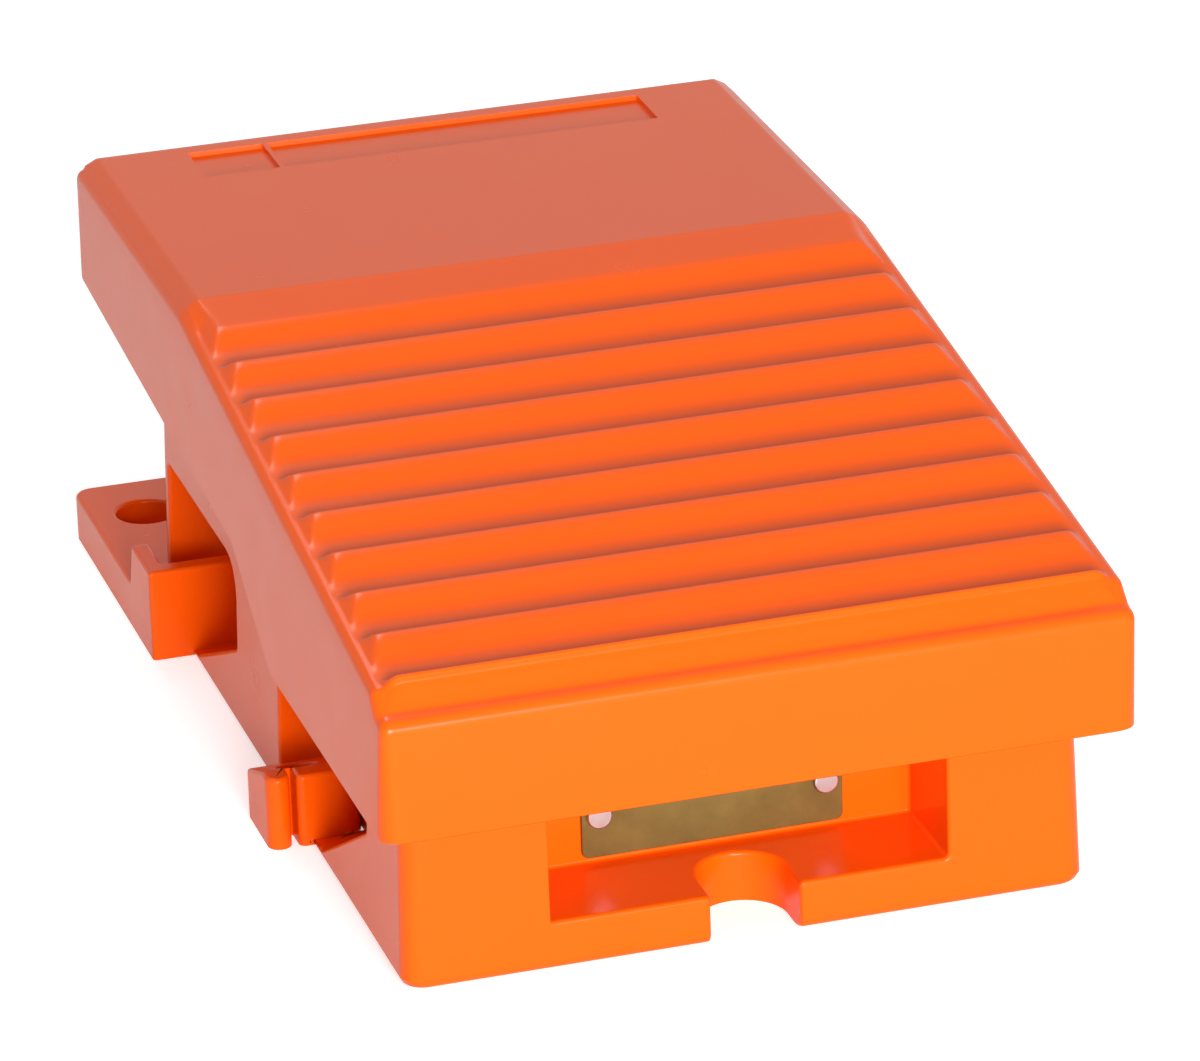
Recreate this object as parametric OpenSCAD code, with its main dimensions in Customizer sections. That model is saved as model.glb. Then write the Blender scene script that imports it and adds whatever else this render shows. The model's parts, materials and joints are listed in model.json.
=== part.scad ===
// Industrial foot switch: die-cast pedal hinged on a die-cast base that holds a contact block.
// Lengths are in millimetres. y is measured back from the front of the pedal lip and z up from
// the floor; to_part_frame() moves the whole assembly so that the origin is under its centre.

/* [Overall] */
// Length from the pedal lip to the rear edge of the fixing shelf
overall_l = 172; // [160:1:190]
// Width over the fixing ears
ear_span = 104; // [103:1:112]
// Draft of the cast walls, degrees
draft = 1.57; // [0.5:0.1:3]

/* [Pedal] */
// Width of the pedal at the bottom of its skirt
pedal_w = 102; // [98:1:104]
// Length of the pedal
pedal_l = 166; // [160:1:171]
// Height of the flat top above the floor
pedal_h = 61.2; // [58:0.2:66]
// Where the flat top starts, behind the lip
flat_start = 103.5; // [96:0.5:112]
// Height of the sloping tread at the lip
tread_front_h = 46.1; // [44:0.1:50]
// Height of the rounded top edge of the lip
lip_h = 42.4; // [41:0.1:44]
// Height of the skirt's lower edge at the front
skirt_h = 25.5; // [23:0.5:27]
// Height of the skirt's lower edge at the rear
skirt_rear_h = 43.2; // [42:0.1:45]
// Wall of the pedal shell
shell_t = 3.2; // [2.5:0.1:4]
// Radius of the upright corners of the castings
corner_r = 2.6; // [1.5:0.1:4]
// Width of the chamfer round the flat top
top_chamfer = 3; // [1:0.5:4]
// Angle from rest to full travel, degrees
pedal_swing = 6; // [3:0.5:6]

/* [Tread ribs] */
// Number of cross ribs
rib_count = 10; // [6:1:12]
// Height of a rib's crest above the valleys
rib_h = 1.6; // [0.8:0.1:2.2]
// Distance from the skirt to the rounded end of a rib
rib_margin = 2.4; // [1.5:0.1:5]

/* [Marking recess] */
// Length of the bare recess on the flat top
mark_l = 68; // [40:1:80]
// Width of the recess
mark_w = 10.4; // [6:0.2:12]
// Depth of the recess
mark_depth = 0.7; // [0.3:0.1:1.2]

/* [Base] */
// Distance by which the pedal laps over each side of the base
side_lap = 4.5; // [4:0.1:5]
// Gap from the lip plane to the front of the base
base_front = 8.6; // [8:0.1:10]
// Rear face of the base body
base_rear = 137.7; // [136:0.1:141]
// Wall of the base
base_t = 4; // [3:0.1:4.5]
// Height of the underside of the floor plate
floor_under = 4; // [3:0.1:5]
// Thickness of the floor plate
floor_t = 3.1; // [2.5:0.1:4]
// Height of the base under the front of the pedal
deck_h = 28; // [27:0.2:29]
// Height of the base walls beside the hinge
shroud_h = 44; // [42.5:0.2:45]

/* [Front window] */
// Width of the window
window_w = 54.3; // [40:0.5:58]
// Depth from the front face to the rating plate wall
window_depth = 15.4; // [12:0.2:18]
// Width of the centre slot
slot_w = 12.2; // [8:0.2:14]

/* [Fixing] */
// Thickness of the rear shelf
shelf_t = 7; // [5:0.2:8]
// Screw hole of the rear ears
rear_hole_d = 5.5; // [4.5:0.1:6.5]
// Counterbore of the rear holes
rear_cbore_d = 8.8; // [7.5:0.1:10]
// Rear holes from the centre line
rear_hole_x = 43.6; // [42:0.2:45]
// Rear holes from the rear edge of the shelf
rear_hole_back = 12; // [8:0.5:16]
// Screw hole of the front ears
front_hole_d = 5.3; // [4.5:0.1:5.8]

/* [Hinge] */
// Diameter of the hinge pins
pin_d = 8; // [6:0.1:8.6]
// Hinge axis behind the lip
hinge_y = 124; // [122:0.2:126]
// Hinge axis above the floor
hinge_z = 48; // [47:0.1:49]
// Radial running clearance of the hinge
hinge_play = 0.05; // [0.02:0.01:0.09]
// Thickness of each hinge lug
lug_t = 4; // [3:0.1:4.4]
// Rounding radius of the lugs
lug_r = 8; // [7:0.1:8.4]

/* [Return springs] */
// Outer diameter of the return springs
spring_d = 10.5; // [9:0.1:11]
// Wire of the return springs
spring_wire = 1.3; // [0.8:0.1:1.6]
// Springs from the side of the base
spring_bay = 11; // [10.7:0.1:11.5]
// Springs behind the lip
spring_y = 82.5; // [82:0.1:83]

/* [Contact chamber] */
// Inner width of the sealed chamber
chamber_w = 50; // [46:0.5:51]
// Wall of the chamber
chamber_t = 3.5; // [3:0.1:4]
// Thickness of the lid
lid_t = 3; // [2:0.1:4]
// Thickness of the lid gasket
gasket_t = 1.2; // [0.8:0.1:2]
// Plunger behind the lip
plunger_y = 70; // [69:0.5:71]
// Diameter of the plunger
plunger_d = 8; // [6:0.1:8.4]
// Length of the actuating screw below its lock nut
screw_reach = 1.4; // [1:0.1:1.8]

/* [Cable entries] */
// Diameter of the tapped cable entries
entry_d = 16; // [14:0.5:17]
// Entries from the centre line
entry_x = 13.5; // [12.5:0.1:14]

/* [Clearances] */
// Gap between parts that nearly touch
gap = 0.1; // [0.05:0.05:0.2]
// Depth by which cast features run into their parent
bite = 0.5; // [0.2:0.1:1]

/* [Hidden] */

$fn = 48;
casting_orange = [0.93, 0.36, 0.03];
base_w = pedal_w - 2 * side_lap;
rear_hole_y = overall_l - rear_hole_back;
spring_x = base_w / 2 - spring_bay;
taper = tan(draft);
floor_top = floor_under + floor_t;

// Tread
tread_rise = (pedal_h - tread_front_h) / flat_start;
first_crest = flat_start - 7;
last_crest = 5;
nose_y = 2.4;
nose_z = lip_h + 0.3;
rib_pitch = (first_crest - last_crest) / (rib_count - 1);
rib_rear = 0.2;
rib_steps = 5;
function crest_z(y) = tread_front_h + tread_rise * min(y, flat_start);
function valley_z(y) = crest_z(y) - rib_h;
// Height lost along one rib, from its rear foot (-1) over the crest (0) to its front foot (1)
function rib_drop(s) = rib_h * (1 - cos(180 * s)) / 2;

// Skirt
skirt_rise_start = 56;
skirt_rise_end = 76;
skirt_mid_h = 36.5;

// Base
shroud_rise_start = 50;
shroud_rise_end = 78;
inner_w = base_w - 2 * (base_t + shroud_h * taper);
window_x = 0.4;
window_top = deck_h - 4;
plate_wall = base_front + window_depth;
slot_x = 1;
slot_end = 20.4;
slot_wall = 2.6;

// Corner notches over the rear ears and side recesses over the front ears
notch_x = base_w / 2 - 8;
notch_h = 25;
notch_wall = 3;
rear_notch_y = 95;
rear_notch_end = base_rear - base_t;
recess_rear_y = 72;
recess_front_y = 27;
ear_out = ear_span / 2;
block_front = 122.4;
block_rear = 140;
block_h = 13.6;
front_ear_front = 56;
front_ear_rear = 68;
front_ear_h = 10.4;
front_ear_low = 7;
front_hole_x = base_w / 2 - 0.3;
front_hole_y = front_ear_front + 6.4;

// Hinge
lug_base_x = notch_x - lug_t;
bush_t = 1;
bush_flange_t = 0.5;
lug_pedal_out = lug_base_x - gap - bush_flange_t;
pin_head_t = 1.6;
pin_head_x = lug_pedal_out - lug_t - gap;
clip_t = 0.8;
clip_x = lug_base_x + lug_t;
pin_end_x = clip_x + clip_t + 0.8;

// Chamber
chamber_out = chamber_w / 2 + chamber_t;
chamber_front = plate_wall + chamber_t;
rear_wall_in = base_rear - 5;
chamber_rear = rear_wall_in - 4;
lid_z = deck_h + gasket_t;
lid_screw_x = chamber_w / 2 - 2.8;
lid_screws_y = [chamber_front + 3.4, 118];
lid_screw_d = 4;
lid_boss_d = 8.4;
entry_z = (floor_top + deck_h) / 2;

// Actuation
drop = (hinge_y - plunger_y) * sin(pedal_swing);
boss_h = 1.1;
boss_under = valley_z(plunger_y) - shell_t - boss_h;
screw_d = 6;
dome_r = 12;
thread_depth = 3.2;
nut_h = 3;
plunger_top = boss_under - nut_h - screw_reach;
guide_top = 34;
head_h = 2.4;
carrier_top = 24.4;
carrier_low = 16;
carrier_d = 11;
bridge_z = 19;
bridge_t = 0.9;
bridge_w = 4;
bridge_l = 22;
strip_t = 1;
strip_w = 5;
strip_x = 9;
upper_strip_z = bridge_z + bridge_t + gap;
lower_strip_z = bridge_z - drop - gap - strip_t;
block_w = 32;
block_front_y = plunger_y - 24;
block_rear_y = plunger_y + 24;
block_well_l = 20;
block_floor_t = 1.5;
foot_x = block_w / 2 + 3.5;
terminal_reach = 16;
earth_at = [-17, 107];

module to_part_frame() { translate([0, -overall_l / 2, 0]) children(); }
module both_sides() { children(); mirror([1, 0, 0]) children(); }
// Extrudes a (y, z) outline across the part
module across(w) { translate([-w / 2, 0, 0]) rotate([90, 0, 90]) linear_extrude(w) children(); }
// Disc or rod lying along X, from x0 to x1
module rod_x(d, x0, x1) { translate([x0, 0, 0]) rotate([0, 90, 0]) cylinder(d = d, h = x1 - x0); }
module box(x0, x1, y0, y1, z0, z1) {
    translate([x0, y0, z0]) cube([x1 - x0, y1 - y0, z1 - z0]);
}
module rounded_rect(w, y0, y1, r) {
    translate([-w / 2 + r, y0]) square([w - 2 * r, y1 - y0]);
    translate([-w / 2, y0 + r]) square([w, y1 - y0 - 2 * r]);
    for (x = [-w / 2 + r, w / 2 - r], y = [y0 + r, y1 - r]) translate([x, y]) circle(r, $fn = 32);
}
module slab(w, y0, y1, r, z) { translate([0, 0, z]) linear_extrude(0.01) rounded_rect(w, y0, y1, r); }
module hex_prism(across_flats, h) { cylinder(d = across_flats / cos(30), h = h, $fn = 6); }
// Closed coil of round wire standing on z = 0
module coil(d, wire, height, turns) {
    sides = 6;
    steps = 12;
    n = turns * steps;
    r = (d - wire) / 2;
    rise = (height - wire) / n;
    ring = [for (i = [0:n], k = [0:sides - 1])
        let (a = 360 * i / steps, b = 360 * k / sides)
        [(r + wire / 2 * cos(b)) * cos(a), (r + wire / 2 * cos(b)) * sin(a),
            wire / 2 + rise * i + wire / 2 * sin(b)]];
    sleeve = [for (i = [0:n - 1], k = [0:sides - 1])
        let (k2 = (k + 1) % sides)
        [i * sides + k, (i + 1) * sides + k, (i + 1) * sides + k2, i * sides + k2]];
    caps = [[for (k = [0:sides - 1]) k], [for (k = [sides - 1:-1:0]) n * sides + k]];
    polyhedron(points = ring, faces = concat(sleeve, caps), convexity = 8);
}

// ---- Pedal ----

module pedal_outline() {
    polygon([[0, skirt_h], [0, lip_h - 1.4], [0.4, lip_h - 0.4], [1.2, lip_h], [nose_y, nose_z],
        [last_crest, valley_z(last_crest)], [flat_start - 1, valley_z(flat_start - 1)],
        [flat_start + 1.5, pedal_h], [pedal_l, pedal_h], [pedal_l, skirt_rear_h],
        [skirt_rise_end, skirt_mid_h], [skirt_rise_start, skirt_h]]);
}

// Smooth band between the flat top and the first rib, set in from the chamfered sides
module tread_band() {
    w = pedal_w - 2 * ((pedal_h - skirt_h) * taper + top_chamfer);
    across(w) polygon([[first_crest, crest_z(first_crest)], [flat_start, pedal_h],
        [flat_start + 3, pedal_h], [flat_start + 3, pedal_h - 2], [first_crest, valley_z(first_crest) - bite]]);
}

// Keeps the ribs behind the slope that falls from the last crest to the lip
module nose_limit() {
    top = pedal_h + 5;
    polygon([[nose_y, lip_h - 5], [nose_y, nose_z], [last_crest - 0.5, crest_z(last_crest) - 0.1],
        [last_crest, top], [pedal_l, top], [pedal_l, lip_h - 5]]);
}

module pedal_hollow_outline() {
    low = skirt_h - 5;
    polygon([[shell_t, low], [shell_t, lip_h - shell_t - 0.6], [shell_t + 2, valley_z(5) - shell_t],
        [flat_start, crest_z(flat_start) - shell_t - 0.4], [pedal_l - shell_t, pedal_h - shell_t - 0.4],
        [pedal_l - shell_t, low]]);
}

module pedal_block(inset, top) {
    w = pedal_w - 2 * inset;
    edge = top - top_chamfer / 2;
    hull() {
        slab(w, inset, pedal_l - inset, corner_r, skirt_h - 6);
        slab(w - 2 * (edge - skirt_h) * taper, inset, pedal_l - inset, corner_r, edge);
        slab(w - 2 * (edge - skirt_h) * taper - 2 * top_chamfer, inset, pedal_l - inset - 1, corner_r, top);
    }
}

// Plan of one rib: square at its front foot, round-cornered behind its crest
module rib_plan(w, y0, y1, r) {
    translate([-w / 2, y0]) square([w, y1 - y0 - r]);
    translate([-w / 2 + r, y0]) square([w - 2 * r, y1 - y0]);
    for (x = [-w / 2 + r, w / 2 - r]) translate([x, y1 - r]) circle(r, $fn = 32);
}

module tread_rib(crest_y) {
    front = (1 - rib_rear) * rib_pitch;
    rear = rib_rear * rib_pitch;
    w = pedal_w - 2 * ((crest_z(crest_y) - skirt_h) * taper + rib_margin);
    flank = [for (i = [-rib_steps:rib_steps])
        let (s = i / rib_steps, y = crest_y - (s > 0 ? s * front : s * rear))
        [y, crest_z(y) - rib_drop(abs(s))]];
    foot = bite + 0.5;
    intersection() {
        across(w) polygon(concat(flank, [[crest_y - front, valley_z(crest_y - front) - foot],
            [crest_y + rear, valley_z(crest_y + rear) - foot]]));
        linear_extrude(pedal_h + rib_h) rib_plan(w, crest_y - front - 1, crest_y + rear, 3);
        across(pedal_w) nose_limit();
    }
}

module pedal_shell() {
    difference() {
        intersection() {
            pedal_block(0, pedal_h);
            across(pedal_w + 2) pedal_outline();
        }
        intersection() {
            pedal_block(shell_t, pedal_h + 2);
            across(pedal_w) pedal_hollow_outline();
        }
    }
}

module pedal_lug() {
    roof = pedal_h - shell_t - 0.4 + bite;
    x0 = lug_pedal_out - lug_t;
    translate([0, hinge_y, hinge_z]) rod_x(2 * lug_r, x0, lug_pedal_out);
    box(x0, lug_pedal_out, hinge_y - lug_r, hinge_y + lug_r, hinge_z, roof);
}

module pedal() {
    under = valley_z(plunger_y) - shell_t;
    color(casting_orange) difference() {
        union() {
            pedal_shell();
            for (i = [0:rib_count - 1]) tread_rib(first_crest - i * rib_pitch);
            tread_band();
            both_sides() pedal_lug();
            both_sides() translate([spring_x, spring_y, spring_top])
                cylinder(d = spring_d + 1, h = valley_z(spring_y) - shell_t - spring_top + bite);
            both_sides() box(rest_rib_x - rest_rib_t / 2, rest_rib_x + rest_rib_t / 2, flat_start + 2, pedal_l - shell_t + bite, rest_rib_z, pedal_h - shell_t);
            translate([0, plunger_y, boss_under]) cylinder(d = 14, h = under - boss_under + 2);
            box(-1.5, 1.5, flat_start + 2, pedal_l - shell_t + bite, pedal_h - 9, pedal_h - shell_t);
        }
        both_sides() translate([0, hinge_y, hinge_z])
            rod_x(pin_d + 2 * bush_t, lug_pedal_out - lug_t - 1, lug_pedal_out + 1);
        translate([0, plunger_y, boss_under - 1]) cylinder(d = screw_d, h = thread_depth + 1);
        marking_recess();
    }
}

module marking_recess() {
    rear = pedal_l - 4.4;
    field = 11;
    divider = 0.8;
    z0 = pedal_h - mark_depth;
    box(-mark_l / 2, -mark_l / 2 + field, rear - mark_w, rear, z0, pedal_h + 1);
    box(-mark_l / 2 + field + divider, mark_l / 2, rear - mark_w, rear, z0, pedal_h + 1);
}

// ---- Base ----

spring_seat_t = 2;
spring_low = floor_top + spring_seat_t;
spring_top = 34;
rest_pad_h = 3;
rest_pad_l = 10;
rest_rib_t = 3;
rest_rib_x = pin_head_x - pin_head_t - 2.7 - rest_rib_t / 2;
buffer_h = 3.2;
buffer_d = 10;
buffer_x = base_w / 2 - 10.5;
buffer_y = base_front + 9.4;
rest_rib_z = shroud_h + rest_pad_h + gap;

module base_outline() {
    polygon([[base_front - 1, -1], [base_front - 1, deck_h], [shroud_rise_start, deck_h],
        [shroud_rise_end, shroud_h], [base_rear + 1, shroud_h], [base_rear + 1, -1]]);
}

module base_body() {
    foot_r = 1.6;
    intersection() {
        hull() {
            slab(base_w - 2 * foot_r, base_front + foot_r, base_rear - foot_r, corner_r, 0);
            slab(base_w - foot_r * 0.6, base_front + foot_r * 0.3, base_rear - foot_r * 0.3, corner_r, foot_r * 0.3);
            slab(base_w, base_front, base_rear, corner_r, foot_r);
            slab(base_w - 2 * shroud_h * taper, base_front + shroud_h * taper, base_rear, corner_r, shroud_h);
        }
        across(base_w + 2) base_outline();
    }
}

// Plan of the front ear: a narrow outer prong and a broad inner lobe with a groove between them
module front_ear_plan() {
    prong = 3.3;
    groove = 0.8;
    lobe_r = 4;
    lobe_out = ear_out - prong - groove;
    front = front_ear_front;
    translate([notch_x - bite, front + lobe_r]) square([ear_out - notch_x + bite, front_ear_rear - front - lobe_r]);
    translate([ear_out - prong / 2, front + prong / 2]) circle(prong / 2, $fn = 32);
    translate([ear_out - prong, front + prong / 2]) square([prong, lobe_r]);
    translate([notch_x + lobe_r, front + lobe_r]) circle(lobe_r, $fn = 32);
    translate([notch_x + lobe_r, front + 0.01]) square([lobe_out - 1 - notch_x - lobe_r, lobe_r]);
    translate([lobe_out - 1, front + 1]) circle(1, $fn = 24);
    translate([notch_x + lobe_r, front + 1]) square([lobe_out - notch_x - lobe_r, lobe_r]);
}

module front_ear() {
    difference() {
        intersection() {
            linear_extrude(front_ear_h + 1) front_ear_plan();
            translate([(ear_out + notch_x) / 2, 0, 0]) across(2 * (ear_out - notch_x))
                polygon([[front_ear_front - 2, -1], [front_ear_front - 2, front_ear_h],
                    [front_ear_front + 3, front_ear_h], [front_ear_rear, front_ear_low], [front_ear_rear, -1]]);
        }
        translate([front_hole_x, front_hole_y, -1]) cylinder(d = front_hole_d, h = front_ear_h + 2);
    }
}

// Raised block at the front of the rear ear, hollow behind its rim
module rear_block() {
    rim = 2.6;
    difference() {
        box(notch_x - bite, ear_out, block_front, block_rear, 0, block_h);
        box(notch_x - 1, ear_out - rim, block_front + 3, block_rear + 1, shelf_t, block_h + 1);
        translate([ear_out, 0, 0]) across(2 * rim + 1) polygon([[block_rear - 7, block_h + 1],
            [block_rear - 4.5, shelf_t], [block_rear + 1, shelf_t], [block_rear + 1, block_h + 1]]);
    }
}

module rear_shelf() {
    linear_extrude(shelf_t) difference() {
        rounded_rect(ear_span, block_front, overall_l, corner_r);
        translate([-base_w / 2 + base_t, block_front - 1])
            square([base_w - 2 * base_t, base_rear - block_front - 1]);
    }
}

module notch_linings() {
    box(notch_x - notch_wall, inner_w / 2 + bite, rear_notch_y - notch_wall, rear_wall_in + bite,
        floor_under, notch_h + notch_wall);
    box(notch_x - notch_wall, inner_w / 2 + bite, base_front + bite, recess_rear_y + notch_wall,
        floor_under, deck_h);
}

// Plan of a side pocket with its inner corners rounded
module pocket_plan(y0, y1, r) {
    wide = base_w / 2 + 2 - notch_x;
    translate([notch_x + r, y0]) square([wide - r, y1 - y0]);
    translate([notch_x, y0 + r]) square([wide, y1 - y0 - 2 * r]);
    for (y = [y0 + r, y1 - r]) translate([notch_x + r, y]) circle(r, $fn = 32);
}

module side_pocket(y0, y1, r) {
    intersection() {
        translate([0, 0, -1]) linear_extrude(notch_h + 2) pocket_plan(y0, y1, r);
        translate([notch_x - 1, 0, 0]) rotate([90, 0, 90]) linear_extrude(base_w / 2 + 4 - notch_x) children();
    }
}

// Pockets above the ears, each with a sloping sill; the rear one is closed behind
module notch_cuts() {
    r = 5;
    low = rear_notch_y;
    side_pocket(low, rear_notch_end, 4) polygon(concat([[low, 12.4], [block_front - 3, 1.4],
        [block_front + 1, 0.6], [block_front + 1, -1], [rear_notch_end, -1], [rear_notch_end, notch_h]],
        [for (a = [90:-22.5:0]) [low + r - r * cos(a), notch_h - r + r * sin(a)]]));
    side_pocket(recess_front_y, recess_rear_y, r) polygon([[recess_rear_y, -1], [recess_rear_y, notch_h],
        [recess_front_y, notch_h], [recess_front_y, 15], [front_ear_front - 6, 2], [front_ear_front + 1, 0.6],
        [front_ear_front + 1, -1]]);
}

module base_lug() {
    translate([0, hinge_y, hinge_z]) rod_x(2 * lug_r, lug_base_x, lug_base_x + lug_t);
    box(lug_base_x, lug_base_x + lug_t, hinge_y - lug_r, hinge_y + lug_r, floor_under + bite, hinge_z);
}

module chamber_walls() {
    difference() {
        box(-chamber_out, chamber_out, plate_wall, rear_wall_in + bite, floor_under + bite, deck_h);
        box(-chamber_w / 2, chamber_w / 2, chamber_front, chamber_rear, floor_top, deck_h + 1);
    }
    both_sides() for (y = lid_screws_y) translate([lid_screw_x, y, floor_top - bite])
        cylinder(d = lid_boss_d, h = deck_h - floor_top + bite);
}

module slot_plan(wall, front) {
    w = slot_w + 2 * wall;
    translate([slot_x, 0]) {
        translate([-w / 2, front]) square([w, slot_end - slot_w / 2 - front]);
        translate([0, slot_end - slot_w / 2]) circle(d = w);
    }
}

module front_window() {
    box(window_x - window_w / 2, window_x + window_w / 2, base_front - 1, plate_wall, floor_top, window_top);
    translate([0, 0, -1]) linear_extrude(floor_top + 2) slot_plan(0, base_front - 1);
}

module base_casting() {
    web = 3;
    color(casting_orange) difference() {
        union() {
            difference() {
                base_body();
                box(-inner_w / 2, inner_w / 2, base_front + base_t, rear_wall_in, floor_top, shroud_h + 1);
                box(-notch_x + notch_wall, notch_x - notch_wall, base_front + base_t, base_rear - base_t,
                    -1, floor_under);
            }
            both_sides() notch_linings();
            both_sides() base_lug();
            chamber_walls();
            box(-inner_w / 2 - bite, inner_w / 2 + bite, base_front + bite, plate_wall + bite, window_top, deck_h);
            both_sides() box(window_w / 2, window_w / 2 + web, base_front + bite, plate_wall + bite,
                floor_under + bite, deck_h - bite);
            both_sides() translate([foot_x, plunger_y, 1]) cylinder(d = 9, h = floor_under);
            translate([earth_at[0], earth_at[1], floor_under + bite]) cylinder(d = 9, h = floor_t + 3 - bite);
            intersection() {
                linear_extrude(floor_under + bite) slot_plan(slot_wall, base_front + base_t - bite);
                box(-inner_w / 2, inner_w / 2, base_front + base_t - bite, plate_wall, -1, deck_h);
            }
            rear_shelf();
        }
        both_sides() notch_cuts();
        front_window();
        both_sides() translate([0, hinge_y, hinge_z]) rod_x(pin_d, lug_base_x - 1, lug_base_x + lug_t + 1);
        for (x = [-entry_x, entry_x]) translate([x, base_rear + 1, entry_z])
            rotate([90, 0, 0]) cylinder(d = entry_d, h = base_rear - chamber_rear + 2);
        both_sides() translate([rear_hole_x, rear_hole_y, -1]) cylinder(d = rear_hole_d, h = shelf_t + 2);
        both_sides() translate([rear_hole_x, rear_hole_y, 2.6]) cylinder(d = rear_cbore_d, h = shelf_t);
        both_sides() for (y = lid_screws_y) translate([lid_screw_x, y, deck_h - 9])
            cylinder(d = lid_screw_d, h = 10);
        both_sides() translate([foot_x, plunger_y, 2.5]) cylinder(d = lid_screw_d, h = 10);
        translate([earth_at[0], earth_at[1], floor_under + 1.5]) cylinder(d = lid_screw_d, h = 10);
        both_sides() translate([rivet_x, plate_wall - 1, plate_z + plate_h / 2])
            rotate([-90, 0, 0]) cylinder(d = 2, h = 3);
    }
    color(casting_orange) both_sides() {
        front_ear();
        rear_block();
    }
}

plate_w = 36;
plate_h = 12;
plate_t = 0.6;
plate_z = floor_top + 0.8;
rivet_x = plate_w / 2 - 2.4;

module rating_plate() {
    color("goldenrod") difference() {
        translate([0, plate_wall, plate_z]) rotate([90, 0, 0]) linear_extrude(plate_t)
            rounded_rect(plate_w, 0, plate_h, 1);
        both_sides() translate([rivet_x, plate_wall - 1, plate_z + plate_h / 2])
            rotate([-90, 0, 0]) cylinder(d = 2, h = 3);
    }
}

module rating_plate_rivets() {
    color("silver") both_sides() translate([rivet_x, plate_wall, plate_z + plate_h / 2]) {
        rotate([-90, 0, 0]) translate([0, 0, -plate_t]) cylinder(d = 2, h = plate_t + 2);
        rotate([90, 0, 0]) translate([0, 0, plate_t]) cylinder(d = 3.4, h = 0.7);
    }
}

// ---- Hinge ----

module hinge_pin() {
    neck = pin_d - 1;
    color("silver") translate([0, hinge_y, hinge_z]) {
        rod_x(pin_d + 3.5, pin_head_x - pin_head_t, pin_head_x);
        rod_x(pin_d, pin_head_x - 0.1, clip_x);
        rod_x(neck, clip_x - 0.1, clip_x + clip_t + 0.1);
        rod_x(pin_d, clip_x + clip_t, pin_end_x);
    }
}
module hinge_pin_right() { hinge_pin(); }
module hinge_pin_left() { mirror([1, 0, 0]) hinge_pin(); }

module hinge_pin_clips() {
    color("silver") both_sides() translate([0, hinge_y, hinge_z]) difference() {
        rod_x(pin_d + 4, clip_x, clip_x + clip_t);
        rod_x(pin_d - 1, clip_x - 1, clip_x + clip_t + 1);
        box(clip_x - 1, clip_x + clip_t + 1, -pin_d * 0.3, pin_d * 0.3, 0, pin_d);
    }
}

module hinge_bushes() {
    color("peru") both_sides() translate([0, hinge_y, hinge_z]) difference() {
        union() {
            rod_x(pin_d + 2 * bush_t, lug_pedal_out - lug_t, lug_pedal_out + bush_flange_t);
            rod_x(pin_d + 5, lug_pedal_out, lug_pedal_out + bush_flange_t);
        }
        rod_x(pin_d + 2 * hinge_play, lug_pedal_out - lug_t - 1, lug_pedal_out + 2);
    }
}

// ---- Return springs and stops ----

module return_spring() {
    color("silver") translate([spring_x, spring_y, spring_low])
        coil(spring_d, spring_wire, spring_top - spring_low, 7);
}
module return_spring_right() { return_spring(); }
module return_spring_left() { mirror([1, 0, 0]) return_spring(); }

module spring_seats() {
    color("dimgray") both_sides() translate([spring_x, spring_y, floor_top]) {
        cylinder(d = spring_d + 1, h = spring_seat_t);
        cylinder(d = spring_d - 2 * spring_wire - 0.6, h = spring_seat_t + 4);
    }
}

module down_stop_buffers() {
    color("dimgray") both_sides() translate([buffer_x, buffer_y, deck_h])
        cylinder(d1 = buffer_d, d2 = buffer_d - 1.4, h = buffer_h);
}

module rest_stop_pads() {
    color("dimgray") both_sides()
        box(rest_rib_x - rest_pad_l / 2, rest_rib_x + rest_pad_l / 2, rear_wall_in + 0.4, base_rear - 0.4, shroud_h, shroud_h + rest_pad_h);
}

// ---- Actuation ----

// The screw's domed tip rolls on the flat plunger head as the pedal turns
module actuating_screw() {
    tip = plunger_top + gap;
    color("silver") translate([0, plunger_y, tip]) intersection() {
        cylinder(d = screw_d, h = boss_under + thread_depth - tip);
        translate([0, 0, dome_r]) sphere(dome_r, $fn = 96);
    }
}

module lock_nut() {
    color("silver") translate([0, plunger_y, boss_under - nut_h]) difference() {
        hex_prism(10, nut_h);
        translate([0, 0, -1]) cylinder(d = screw_d, h = nut_h + 2);
    }
}

module plunger() {
    color("whitesmoke") translate([0, plunger_y, 0]) {
        translate([0, 0, carrier_top]) cylinder(d = plunger_d, h = plunger_top - carrier_top);
        translate([0, 0, plunger_top - head_h]) cylinder(d = 13, h = head_h);
    }
}

module plunger_guide() {
    hex_af = 17;
    color("gold") translate([0, plunger_y, 0]) difference() {
        union() {
            translate([0, 0, lid_z + lid_t]) cylinder(d = hex_af, h = guide_top - lid_z - lid_t);
            translate([0, 0, deck_h - 1.5]) cylinder(d = 13, h = guide_top - deck_h + 1.5);
        }
        translate([0, 0, 0]) cylinder(d = plunger_d + 2 * gap, h = guide_top + 1);
    }
}

module plunger_boot() {
    low = guide_top;
    high = plunger_top - head_h;
    folds = 3;
    wall = 0.9;
    pitch = (high - low) / folds;
    wave = [for (i = [0:folds - 1]) each [[5.6, low + i * pitch], [8, low + (i + 0.5) * pitch]]];
    outer = concat(wave, [[5.6, high]]);
    inner = [for (i = [len(outer) - 1:-1:0]) [outer[i][0] - wall, outer[i][1]]];
    color("dimgray") translate([0, plunger_y, 0]) rotate_extrude() polygon(concat(outer, inner));
}

// ---- Chamber ----

module lid_plan(r) { rounded_rect(2 * chamber_out, plate_wall + 0.4, rear_wall_in - 0.3, r); }
module lid_screw_holes() {
    both_sides() for (y = lid_screws_y) translate([lid_screw_x, y]) circle(d = lid_screw_d + 0.4);
}

module chamber_lid() {
    color("silver") translate([0, 0, lid_z]) linear_extrude(lid_t) difference() {
        lid_plan(2);
        lid_screw_holes();
        translate([0, plunger_y]) circle(d = 13);
    }
}

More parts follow.
